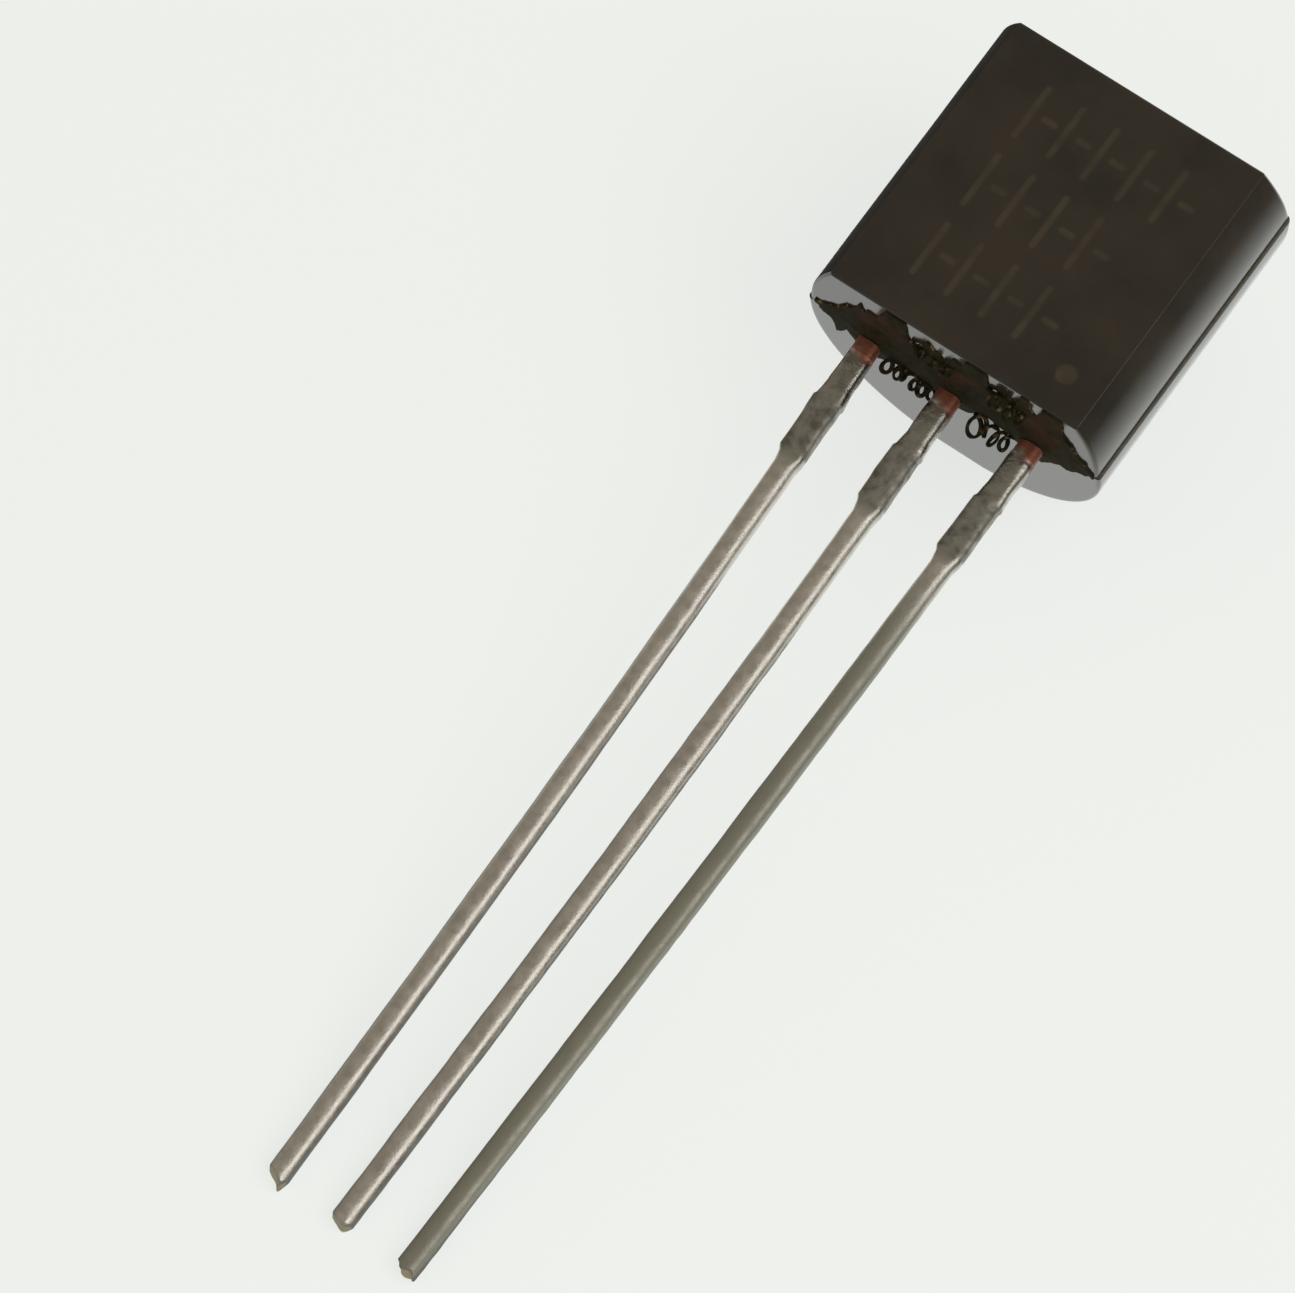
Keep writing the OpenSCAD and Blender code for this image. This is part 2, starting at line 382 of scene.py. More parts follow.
def mottle_group() -> bpy.types.NodeTree:
    """Blotches of two colours: soft layered noise, its middle stretched, blends between them.

    Returns:
        The node group, which puts out the colour and the noise as a mask.
    """
    tree, nodes = group(
        "Mottle",
        {"Vector": ("NodeSocketVector", None), "Scale": ("NodeSocketFloat", 2000.0),
         "Low": ("NodeSocketFloat", 0.35), "High": ("NodeSocketFloat", 0.65),
         "First": ("NodeSocketColor", None), "Second": ("NodeSocketColor", None)},
        {"Color": "NodeSocketColor", "Mask": "NodeSocketFloat"})
    given = nodes.add("NodeGroupInput").outputs
    noise = nodes.add("TexNoise", {"Vector": given["Vector"], "Scale": given["Scale"], "Detail": 4.0,
                                   "Roughness": 0.6})
    mask = nodes.add("MapRange", {"Value": noise.outputs["Fac"], "From Min": given["Low"],
                                  "From Max": given["High"]}).outputs["Result"]
    nodes.add("NodeGroupOutput", {"Color": nodes.mix(mask, given["First"], given["Second"]),
                                  "Mask": mask})
    return tree


def grain_group() -> bpy.types.NodeTree:
    """Fine unevenness: the height is a coarse noise plus a third of one four times as fine.

    Returns:
        The node group, which puts out the height.
    """
    tree, nodes = group(
        "Grain", {"Vector": ("NodeSocketVector", None), "Scale": ("NodeSocketFloat", 10000.0)},
        {"Height": "NodeSocketFloat"})
    given = nodes.add("NodeGroupInput").outputs
    coarse = nodes.add("TexNoise", {"Vector": given["Vector"], "Detail": 2.0,
                                    "Scale": given["Scale"]})
    finer = nodes.add("TexNoise", {"Vector": given["Vector"], "Detail": 2.0,
                                   "Scale": nodes.times(given["Scale"], 4.0)})
    nodes.add("NodeGroupOutput", {"Height": nodes.plus(
        coarse.outputs["Fac"], nodes.times(finer.outputs["Fac"], 0.33))})
    return tree


MOTTLE = mottle_group()
GRAIN = grain_group()


@dataclass(frozen=True)
class Finish:
    """What every finish shares: how rough it is, and the unevenness of its surface.

    Attributes:
        name: Name of the material.
        first: Darker colour of the blotches.
        second: Lighter colour of the blotches.
        blotch: Size of the blotches, in millimetres.
        roughness: Roughness from smooth to rough places.
        grain: Size of the fine unevenness, in millimetres.
        grain_height: Height of the fine unevenness, in millimetres.
        metallic: 1 for metal.
        shine: Strength of the reflection of a finish that isn't metal; 0.5 is common plastic.
    """

    name: str
    first: Color
    second: Color
    blotch: float
    roughness: Pair
    grain: float
    grain_height: float
    metallic: float = 0.0
    shine: float = 0.5

    def color(self, nodes: Nodes, place: Any, blotches: Any) -> Any:
        """The colour of the surface, as a socket; a kind of finish may add to it."""
        return blotches.outputs["Color"]

    def rough(self, nodes: Nodes, place: Any, blotches: Any) -> Any:
        """The roughness of the surface, as a socket; a kind of finish may add to it."""
        return nodes.ranged(blotches.outputs["Mask"], 0, 1, *self.roughness)

    def material(self) -> bpy.types.Material:
        """Builds the material round one Principled shader with a Bump of the grain.

        Returns:
            The material.
        """
        material, nodes = blank_material(self.name)
        place = nodes.place()
        blotches = nodes.add("Group", node_tree=MOTTLE)
        grain = nodes.add("Group", node_tree=GRAIN)
        for node, scale in ((blotches, self.blotch), (grain, self.grain)):
            nodes.tree.links.new(place, node.inputs["Vector"])
            node.inputs["Scale"].default_value = 1 / (scale * MM)
        blotches.inputs["First"].default_value = (*self.first, 1)
        blotches.inputs["Second"].default_value = (*self.second, 1)
        bump = nodes.add("Bump", {"Height": grain.outputs["Height"], "Strength": 1.0,
                                  "Distance": self.grain_height * MM})
        shader = nodes.add("BsdfPrincipled", {
            "Base Color": self.color(nodes, place, blotches),
            "Roughness": self.rough(nodes, place, blotches),
            "Metallic": self.metallic, "Specular IOR Level": self.shine,
            "Normal": bump.outputs["Normal"]})
        nodes.add("OutputMaterial", {"Surface": shader.outputs["BSDF"]})
        return material


@dataclass(frozen=True)
class CompoundFinish(Finish):
    """Black moulding compound with a fired mark on its flat.

    Attributes:
        mark: Colour of the fired strokes.
        mark_rougher: How much rougher the strokes are.
    """

    mark: Color = (0.066, 0.047, 0.027)
    mark_rougher: float = 0.25

    def color(self, nodes: Nodes, place: Any, blotches: Any) -> Any:
        """The blotches, with the strokes of the mark over them."""
        return nodes.mix(nodes.painted("mark"), blotches.outputs["Color"], self.mark)

    def rough(self, nodes: Nodes, place: Any, blotches: Any) -> Any:
        """The blotches' roughness, rougher where the mark was fired."""
        plain = nodes.ranged(blotches.outputs["Mask"], 0, 1, *self.roughness)
        return nodes.plus(plain, nodes.times(nodes.painted("mark"), self.mark_rougher))


@dataclass(frozen=True)
class FlashFinish(Finish):
    """Torn film of compound, with tan glints painted into its colour along its edges: a painted
    highlight.

    Attributes:
        painted_glint: Colour of the painted glints, a painted highlight.
        rust: Colour that the copper lends it beside the leads.
        painted_glint_size: Size of the painted glints, in millimetres.
        painted_glint_noise: Noise at which a painted glint starts and is full.
    """

    painted_glint: Color = (0.25, 0.17, 0.09)
    rust: Color = (0.06, 0.026, 0.018)
    painted_glint_size: float = 0.09
    painted_glint_noise: Pair = (0.56, 0.7)

    def color(self, nodes: Nodes, place: Any, blotches: Any) -> Any:
        """The blotches, rusty beside the leads, with painted glints where a noise is high, as strong
        as the points' glint share.

        Args:
            nodes: The tree of the material.
            place: Socket of the object coordinates.
            blotches: Node of the blotches.

        Returns:
            The socket of the colour.
        """
        fine = nodes.add("TexNoise", {"Vector": place, "Scale": 1 / (self.painted_glint_size * MM),
                                      "Detail": 3.0})
        painted_glints = nodes.ranged(fine.outputs["Fac"], *self.painted_glint_noise, 0, 1)
        rusty = nodes.mix(nodes.painted("rusty"), blotches.outputs["Color"], self.rust)
        # Painted highlight: tan glints mixed into the base colour, by the noise and the points'
        # share.
        return nodes.mix(nodes.times(painted_glints, nodes.painted("thin")), rusty, self.painted_glint)


@dataclass(frozen=True)
class TinFinish(Finish):
    """Dull tin over copper alloy, which shows bare at the root and in the cut tip.

    Attributes:
        copper: Colour of the oxidised alloy at the root.
        brass: Colour of the fresh cut.
        stain: Colour of the blotches on the worn neck and stub of the tie bar.
        stain_size: Size of those blotches, in millimetres.
        stain_noise: Noise at which such a blotch starts and is full.
        stain_share: Share of the stain outside and inside the blotches.
        dulled: Darker olive colour mixed in where the points' dull value is high.
        dull_share: Share of that colour where the tin is fully dull.
        neck_worn: Wear at which the neck starts and stops to be smoother.
        neck_smoother: How much smoother the neck is.
        stub_worn: Wear at which the stub starts and stops to be rougher.
        stub_rougher: How much rougher the stub is, in times rougher.
        rougher: How much rougher dull tin and bare metal are.
    """

    copper: Color = (0.38, 0.15, 0.1)
    brass: Color = (0.85, 0.75, 0.5)
    stain: Color = (0.19, 0.18, 0.15)
    stain_size: float = 0.16
    stain_noise: Pair = (0.38, 0.66)
    stain_share: Pair = (0.5, 1.0)
    dulled: Color = (0.335, 0.335, 0.28)
    dull_share: float = 0.8
    neck_worn: Pair = (0.3, 0.8)
    neck_smoother: float = 0.14
    stub_worn: Pair = (0.88, 1.0)
    stub_rougher: float = 1.8
    rougher: float = 0.18

    def color(self, nodes: Nodes, place: Any, blotches: Any) -> Any:
        """Tin, darker and olive where dull, stained on neck and stub, then bare copper and cut brass
        where the points say so.

        Args:
            nodes: The tree of the material.
            place: Socket of the object coordinates.
            blotches: Node of the blotches.

        Returns:
            The socket of the colour.
        """
        spots = nodes.add("TexNoise", {"Vector": place, "Scale": 1 / (self.stain_size * MM),
                                       "Detail": 4.0})
        spotted = nodes.ranged(spots.outputs["Fac"], *self.stain_noise, *self.stain_share)
        dull = nodes.times(nodes.painted("dull"), self.dull_share)
        tin = nodes.mix(dull, blotches.outputs["Color"], self.dulled)
        tin = nodes.mix(nodes.times(spotted, nodes.painted("worn")), tin, self.stain)
        bare = nodes.mix(nodes.painted("bare"), tin, self.copper)
        return nodes.mix(nodes.painted("cut"), bare, self.brass)

    def rough(self, nodes: Nodes, place: Any, blotches: Any) -> Any:
        """The blotches' roughness: smoother on the neck, rougher on the stub, dull or bare.

        Args:
            nodes: The tree of the material.
            place: Socket of the object coordinates; not used.
            blotches: Node of the blotches.

        Returns:
            The socket of the roughness.
        """
        plain = nodes.ranged(blotches.outputs["Mask"], 0, 1, *self.roughness)
        stub = nodes.ranged(nodes.painted("worn"), *self.stub_worn, 0, self.stub_rougher)
        smoother = nodes.ranged(nodes.painted("worn"), *self.neck_worn, 0, -self.neck_smoother)
        rougher = nodes.plus(nodes.painted("dull"), nodes.plus(nodes.painted("bare"), stub))
        return nodes.plus(nodes.plus(plain, smoother), nodes.times(rougher, self.rougher))


@dataclass(frozen=True)
class DieFinish(Finish):
    """Polished silicon under a faint pattern of cells.

    Attributes:
        cell: Size of a cell, in millimetres.
        darker: What every other cell is multiplied by.
        gap: What the lines between the cells are multiplied by.
    """

    cell: float = 0.05
    darker: Color = (0.6, 0.65, 0.8)
    gap: Color = (0.3, 0.3, 0.35)

    def color(self, nodes: Nodes, place: Any, blotches: Any) -> Any:
        """The blotches, darkened in alternate cells of a brick pattern."""
        cells = nodes.add("TexBrick", {"Vector": place, "Scale": 1 / (self.cell * MM),
                                       "Color1": (1, 1, 1, 1), "Color2": (*self.darker, 1),
                                       "Mortar": (*self.gap, 1), "Mortar Size": 0.05})
        return nodes.mix(1.0, blotches.outputs["Color"], cells.outputs["Color"], "MULTIPLY")


COMPOUND = CompoundFinish("black_compound", (0.023, 0.0185, 0.012), (0.04, 0.029, 0.0185),
                          blotch=1.3, roughness=(0.12, 0.18), grain=0.05, grain_height=0.0008)
FLASH = FlashFinish("torn_flash", (0.013, 0.012, 0.0055), (0.034, 0.029, 0.015), shine=0.03,
                    blotch=0.14, roughness=(0.7, 0.95), grain=0.03, grain_height=0.005)
SEAM = Finish("parting_line", (0.065, 0.062, 0.049), (0.115, 0.108, 0.085),
              blotch=0.15, roughness=(0.4, 0.6), grain=0.03, grain_height=0.003)
TIN = TinFinish("dull_tin", (0.47, 0.445, 0.405), (0.6, 0.565, 0.515), metallic=1.0,
                blotch=0.16, roughness=(0.3, 0.45), grain=0.035, grain_height=0.0035)
SILICON = DieFinish("silicon", (0.28, 0.3, 0.38), (0.36, 0.38, 0.45), metallic=0.6,
                    blotch=0.2, roughness=(0.12, 0.2), grain=0.05, grain_height=0.0003)
ADHESIVE = Finish("silver_adhesive", (0.55, 0.53, 0.5), (0.8, 0.78, 0.73), metallic=0.4,
                  blotch=0.03, roughness=(0.35, 0.6), grain=0.01, grain_height=0.002)
GOLD = Finish("gold_wire", (0.85, 0.6, 0.18), (0.95, 0.72, 0.3), metallic=1.0,
              blotch=0.05, roughness=(0.12, 0.22), grain=0.02, grain_height=0.0003)


@cache
def material_of(finish: Finish) -> bpy.types.Material:
    """The material of a finish, built once and shared by every piece that has it."""
    return finish.material()


def finished(piece: bpy.types.Object, finish: Finish, slot: str = "", *stands_for: str) -> None:
    """Dresses a piece, ties it to the body of the frame and reports it.

    Args:
        piece: The object.
        finish: Its finish.
        slot: The record's slot of a new piece; when given, the piece is tied to the body of the
            frame.
        stands_for: CAD nodes that it replaces.
    """
    material = material_of(finish)
    if piece.data.materials:
        for k in range(len(piece.data.materials)):
            piece.data.materials[k] = material
    else:
        piece.data.materials.append(material)
    if slot:
        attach(piece, "root")
    if stands_for:
        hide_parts(*stands_for)
    LOG.info("%s: %d points, %s", piece.name, len(piece.data.vertices), finish.name)


# ---- Moulded body ----


@dataclass
class MouldedBody:
    """The D-shaped body: a round back, a round front cut by the flat, and drafted ends.

    Attributes:
        height: From the lead end to the top, at the parting plane.
        radius: Of the round back.
        front_radius: Of the round front, which the mould leaves a little smaller.
        land: Straight part between the parting plane and the round back.
        rise: Of the flat face over the parting plane.
        edge_r: Radius where the flat face meets the round front.
        half_foot: Half the width of the narrow flat along the back.
        rim_r: Radius of the edge round the lead end.
        top_rim_r: Radius of the edge round the top.
        lead_draft: Slope of the lead end, in degrees.
        top_draft: Slope of the top, in degrees.
        mark_r: Radius of the ejector mark in the back.
        mark_depth: Depth of the ejector mark.
        mark_edge: Width of the slope round the ejector mark.
        fired: Depth of the fired strokes on the flat.
        least_corner: Smallest radius that an inset leaves of the flat's edge.
        waves: Size and height of each kind of wave in the surface.
        counts: Points on each stretch of the half outline, from the back flat to the flat face.
        face_scales: Sizes of the rings on an end face, as shares of its outline.
        rim_points: Rings round the edge of an end.
        side_rows: Rows of points between the two ends.
        noise: Pattern of the waves.
    """

    height: float = 4.42
    radius: float = 2.28
    front_radius: float = 2.25
    land: float = 0.18
    rise: float = 1.19
    edge_r: float = 0.012
    half_foot: float = 0.41
    rim_r: float = 0.05
    top_rim_r: float = 0.07
    lead_draft: float = 1.5
    top_draft: float = 5.0
    mark_r: float = 0.65
    mark_depth: float = 0.12
    mark_edge: float = 0.03
    fired: float = 0.003
    least_corner: float = 0.003
    waves: tuple[Pair, ...] = ((0.9, 0.0022), (0.3, 0.0007))
    counts: tuple[int, ...] = (14, 50, 4, 2, 28, 9, 72)
    face_scales: tuple[float, ...] = (0.08, 0.25, 0.45, 0.62, 0.76, 0.87, 0.94, 0.98)
    rim_points: int = 9
    side_rows: int = 168
    noise: SpaceNoise = field(default_factory=lambda: SpaceNoise(11))

    @property
    def back_centre(self) -> float:
        """Height of the axis of the round back."""
        return SEAM_Z - self.land

    @property
    def back_z(self) -> float:
        """Height of the narrow back flat, which is a chord of the round back."""
        return self.back_centre - math.sqrt(self.radius**2 - self.half_foot**2)

    def end_y(self, z: Array, top: bool) -> Array:
        """Where an end face lies: it leans inwards on both sides of the parting plane.

        Args:
            z: Heights of points.
            top: Whether it is the top and not the lead end.

        Returns:
            One y per height.
        """
        away = np.abs(z - SEAM_Z)
        if top:
            return self.height - away * math.tan(math.radians(self.top_draft))
        return away * math.tan(math.radians(self.lead_draft))

    def outline(self, inset: Array) -> Array:
        """The cross-section drawn in by an inset, as points and outward normals.

        The right half runs along the back flat, the round back, the land, the small ledge at the
        parting plane, the round front, the flat's rounded edge and the flat. The left half
        mirrors it. An inset makes every radius and the rise smaller by as much, and the flat's
        edge no sharper than its least corner.

        Args:
            inset: One inset per ring, of shape (rings, 1).

        Returns:
            x, z, and the x and z parts of the normal, each of shape (rings, points).
        """
        r, front = self.radius - inset, self.front_radius - inset
        c = np.maximum(self.edge_r - inset, self.least_corner)
        low, high = self.back_z + inset, SEAM_Z + self.rise - inset
        corner_x = np.sqrt((front - c) ** 2 - (high - SEAM_Z - c) ** 2)
        half_foot = self.half_foot * r / self.radius
        foot = np.arcsin(half_foot / r) - math.pi / 2
        turn = np.arctan2(high - SEAM_Z - c, corner_x)
        zero = 0 * inset

        def line(x0: Array, z0: Array, x1: Array, z1: Array, n: Pair, count: int) -> Array:
            """Points along a straight part, its last point left out."""
            t = np.arange(count) / count
            return np.array([x0 + t * (x1 - x0), z0 + t * (z1 - z0),
                             n[0] + zero * t, n[1] + zero * t])

        def arc(x: Array, z: Array, radius: Array, start: Array, end: Array, count: int) -> Array:
            """Points round an arc, its last point left out."""
            a = start + (end - start) * np.arange(count) / count
            return np.array([x + radius * np.cos(a), z + radius * np.sin(a), np.cos(a), np.sin(a)])

        n_foot, n_back, n_land, n_ledge, n_front, n_edge, n_flat = self.counts
        half = np.concatenate([
            line(zero, low, half_foot, low, (0, -1), n_foot),
            arc(zero, self.back_centre, r, foot, zero, n_back),
            line(r, self.back_centre + zero, r, SEAM_Z + zero, (1, 0), n_land),
            line(r, SEAM_Z + zero, front, SEAM_Z + zero, (0, 1), n_ledge),
            arc(zero, SEAM_Z, front, zero, turn, n_front),
            arc(corner_x, high - c, c, turn, math.pi / 2 + zero, n_edge),
            line(corner_x, high, zero, high, (0, 1), n_flat),
            np.array([zero, high, zero, 1 + zero])], axis=2)
        flip = np.array([-1, 1, -1, 1])[:, None, None]
        return np.concatenate([half, half[..., -2:0:-1] * flip], axis=2)

    def end_rings(self, radius: float, top: bool) -> Array:
        """The rings of one end, from the middle of its face out over its rim.

        The face is the inset outline at growing scales. The rim is a quarter circle: at the angle a
        it lies radius * (1 - sin a) along the side and radius * (1 - cos a) inside it.

        Args:
            radius: Of the rim.
            top: Whether it is the top, whose rings run the other way.

        Returns:
            Blend from lead end to top, shift along y, inset and scale, one column per ring.
        """
        face = np.array(self.face_scales)
        a = np.radians(np.linspace(90, 0, self.rim_points))
        rings = np.concatenate([
            [0 * face, 0 * face, radius + 0 * face, face],
            [0 * a, radius * (1 - np.sin(a)), radius * (1 - np.cos(a)), 1 + 0 * a]], axis=1)
        if not top:
            return rings
        return rings[:, ::-1] * [[1], [-1], [1], [1]] + [[1], [0], [0], [0]]

    def skin(self, marking: "Marking") -> Skin:
        """The whole surface as rings round the y axis.

        Each ring is the outline, drawn in by an inset and scaled towards the middle. The rings
        grow over the lead end, run up the sides by blending one end's height into the other's, and
        close over the top.

        Args:
            marking: What is fired into the flat.

        Returns:
            The closed surface with the value "mark" on it.
        """
        side = np.linspace(0, 1, self.side_rows + 2)[1:-1]
        offset = self.rim_r * (1 - side) - self.top_rim_r * side
        wall = np.array([side, offset, 0 * side, 1 + 0 * side])
        rings = np.concatenate([self.end_rings(self.rim_r, False), wall,
                                self.end_rings(self.top_rim_r, True)], axis=1)
        along, offset, inset, shrink = rings[:, :, None]
        x, z, nx, nz = self.outline(inset)
        px = x * shrink
        pz = (z - SEAM_Z) * shrink + SEAM_Z
        py = self.end_y(pz, False) * (1 - along) + self.end_y(pz, True) * along + offset
        points = np.stack([px, py, pz], -1)

        far = np.hypot(px, py - self.height / 2)
        in_mark = eased((self.mark_r + self.mark_edge / 2 - far) / self.mark_edge) * (shrink == 1)
        floor_z = self.back_z + self.mark_depth
        points[..., 2] += in_mark * np.maximum(floor_z - pz, 0)

        faces_front = nz > 0.999
        mark = marking.strength(px, py) * faces_front * (inset == 0)
        points[..., 2] -= mark * self.fired
        wave = sum(self.noise(points, size) * tall for size, tall in self.waves)
        points[..., 0] += wave * nx
        points[..., 2] += wave * nz
        return Skin.tube(points, mark=mark)

    def build(self, marking: "Marking") -> None:
        """Makes the body and dresses it."""
        finished(self.skin(marking).made("moulded_body_surface"), COMPOUND, "moulding_compound",
                 "moulded_body")


@dataclass
class Marking:
    """A plain pattern fired into the flat: rows of short strokes and one round dot.

    Attributes:
        rows: Foot of each row, as x and y.
        counts: Number of strokes in each row.
        pitch: From one stroke to the next.
        tall: Height of the strokes.
        stroke: Width of a stroke.
        dash: Where the dash behind a stroke starts and ends, from the stroke.
        dot: Middle of the dot.
        dot_r: Radius of the dot.
        soft: Width of the soft edge of a stroke.
        strong: Strength in the middle of a stroke.
        uneven: How far the strength wavers.
        uneven_size: Size of its wavering.
        noise: Pattern of its wavering.
    """

    rows: tuple[Pair, ...] = ((-1.05, 2.95), (-1.05, 1.8), (-1.05, 0.65))
    counts: tuple[int, ...] = (5, 4, 4)
    pitch: float = 0.53
    tall: float = 0.78
    stroke: float = 0.085
    dash: Pair = (0.19, 0.35)
    dot: Pair = (1.38, 0.58)
    dot_r: float = 0.14
    soft: float = 0.04
    strong: float = 0.8
    uneven: float = 0.35
    uneven_size: float = 0.16
    noise: SpaceNoise = field(default_factory=lambda: SpaceNoise(17))

    def lines(self) -> Array:
        """Ends of every line: upright strokes with a level dash at half height between them.

        Returns:
            One row of x, y of the start and x, y of the end per line.
        """
        ends = []
        for (x, y), count in zip(self.rows, self.counts):
            level = y + self.tall / 2
            for k in range(count):
                left = x + k * self.pitch
                ends.append((left, y, left, y + self.tall))
                ends.append((left + self.dash[0], level, left + self.dash[1], level))
        return np.array(ends)

    def strength(self, x: Array, y: Array) -> Array:
        """How strongly each point is fired: most in a stroke, uneven by noise, 0 outside it.

        The distance to a line is measured from the point's foot on it, held between its ends.

        Args:
            x: Places across the flat.
            y: Places up the flat.

        Returns:
            Values from 0 to 1, of the same shape.
        """
        from_dot = np.hypot(x - self.dot[0], y - self.dot[1])
        near = np.maximum(from_dot - self.dot_r + self.stroke / 2, 0)
        for x0, y0, x1, y1 in self.lines():
            run = np.array([x1 - x0, y1 - y0])
            t = np.clip(((x - x0) * run[0] + (y - y0) * run[1]) / (run @ run), 0, 1)
            near = np.minimum(near, np.hypot(x - x0 - t * run[0], y - y0 - t * run[1]))
        fired = eased((self.stroke / 2 + self.soft / 2 - near) / self.soft)
        wavering = self.uneven * self.noise(np.stack([x, y, 0 * x], -1), self.uneven_size)
        return fired * (self.strong + wavering)


# ---- Flash: the parting line and the film at the lead end ----


@dataclass
class PartingLine:
    """The ridge of flash where the moulds parted: up one side, over the top and down the other.

    Attributes:
        proud: How far it stands out.
        half_width: Half its width.
        depth: How deep its middle lies under the surface.
        lower: How far its middle lies behind the parting plane.
        step: Distance between its rings.
        ring_points: Points round a ring.
        start: Distance of its ends from the lead end.
        sink: How far it sinks into the body at its ends.
        sink_length: Length over which it does.
        turn_r: Radius of its path at the corners.
        turn_points: Points on its path at a corner.
        swell: How far its height wavers, as a share, and the size of the wavering.
        sway: How far its middle wavers, and the size of the wavering.
        noise: Pattern of both.
    """

    proud: float = 0.004
    half_width: float = 0.045
    depth: float = 0.06
    lower: float = 0.02
    step: float = 0.02
    ring_points: int = 20
    start: float = 0.004
    sink: float = 0.05
    sink_length: float = 0.12
    turn_r: float = 0.08
    turn_points: int = 6
    swell: Pair = (0.22, 0.2)
    sway: Pair = (0.006, 0.5)
    noise: SpaceNoise = field(default_factory=lambda: SpaceNoise(23))

    def path(self, body: MouldedBody) -> tuple[Array, Array]:
        """The path and its outward normals, in the parting plane.

        It runs straight up the side, round a quarter circle, across half the top, and the same
        mirrored on the other side.

        Args:
            body: The body that it runs round.

        Returns:
            Points and normals, as arrays of (x, y).
        """
        r, h, c = body.radius, body.height, self.turn_r
        up = np.arange(self.start, h - c, self.step)[:, None]
        over = np.arange(r - c, 0, -self.step)[:, None]
        a = np.linspace(0, math.pi / 2, self.turn_points)
        turn = np.stack([np.cos(a), np.sin(a)], -1)
        points = np.concatenate([up * [0, 1] + [r, 0], turn * c + [r - c, h - c],
                                 over * [1, 0] + [0, h]])
        normals = np.concatenate([0 * up + [1, 0], turn, 0 * over + [0, 1]])
        return tuple(np.concatenate([half, half[::-1] * [-1, 1]]) for half in (points, normals))

    def skin(self, body: MouldedBody) -> Skin:
        """A boxy oval carried along the path, its size changed a little by noise.

        Its half axes times the roots of the cosine and the sine give it a nearly level top.

        Args:
            body: The body that it runs round.

        Returns:
            The closed surface.
        """
        points, normals = self.path(body)
        a = np.linspace(0, 2 * math.pi, self.ring_points, endpoint=False)
        at = np.pad(points, ((0, 0), (0, 1)))
        swell = 1 + self.swell[0] * self.noise.layered(at, self.swell[1])[:, None]
        sway = self.sway[0] * self.noise(at, self.sway[1])[:, None]
        cos, sin = (np.sign(v) * np.sqrt(np.abs(v)) for v in (np.cos(a), np.sin(a)))
        sink = self.sink * (1 - eased(points[:, 1:] / self.sink_length))
        out = -self.depth + (self.depth + self.proud * swell) * cos - sink
        level = SEAM_Z - self.lower + self.half_width * sin + sway
        x, y = (points[:, k:k + 1] + normals[:, k:k + 1] * out for k in (0, 1))
        return Skin.tube(np.stack([x, y, level], -1))

    def build(self, body: MouldedBody) -> None:
        """Makes the ridge and dresses it."""
        finished(self.skin(body).made("parting_line_ridge"), SEAM, "moulding_compound")


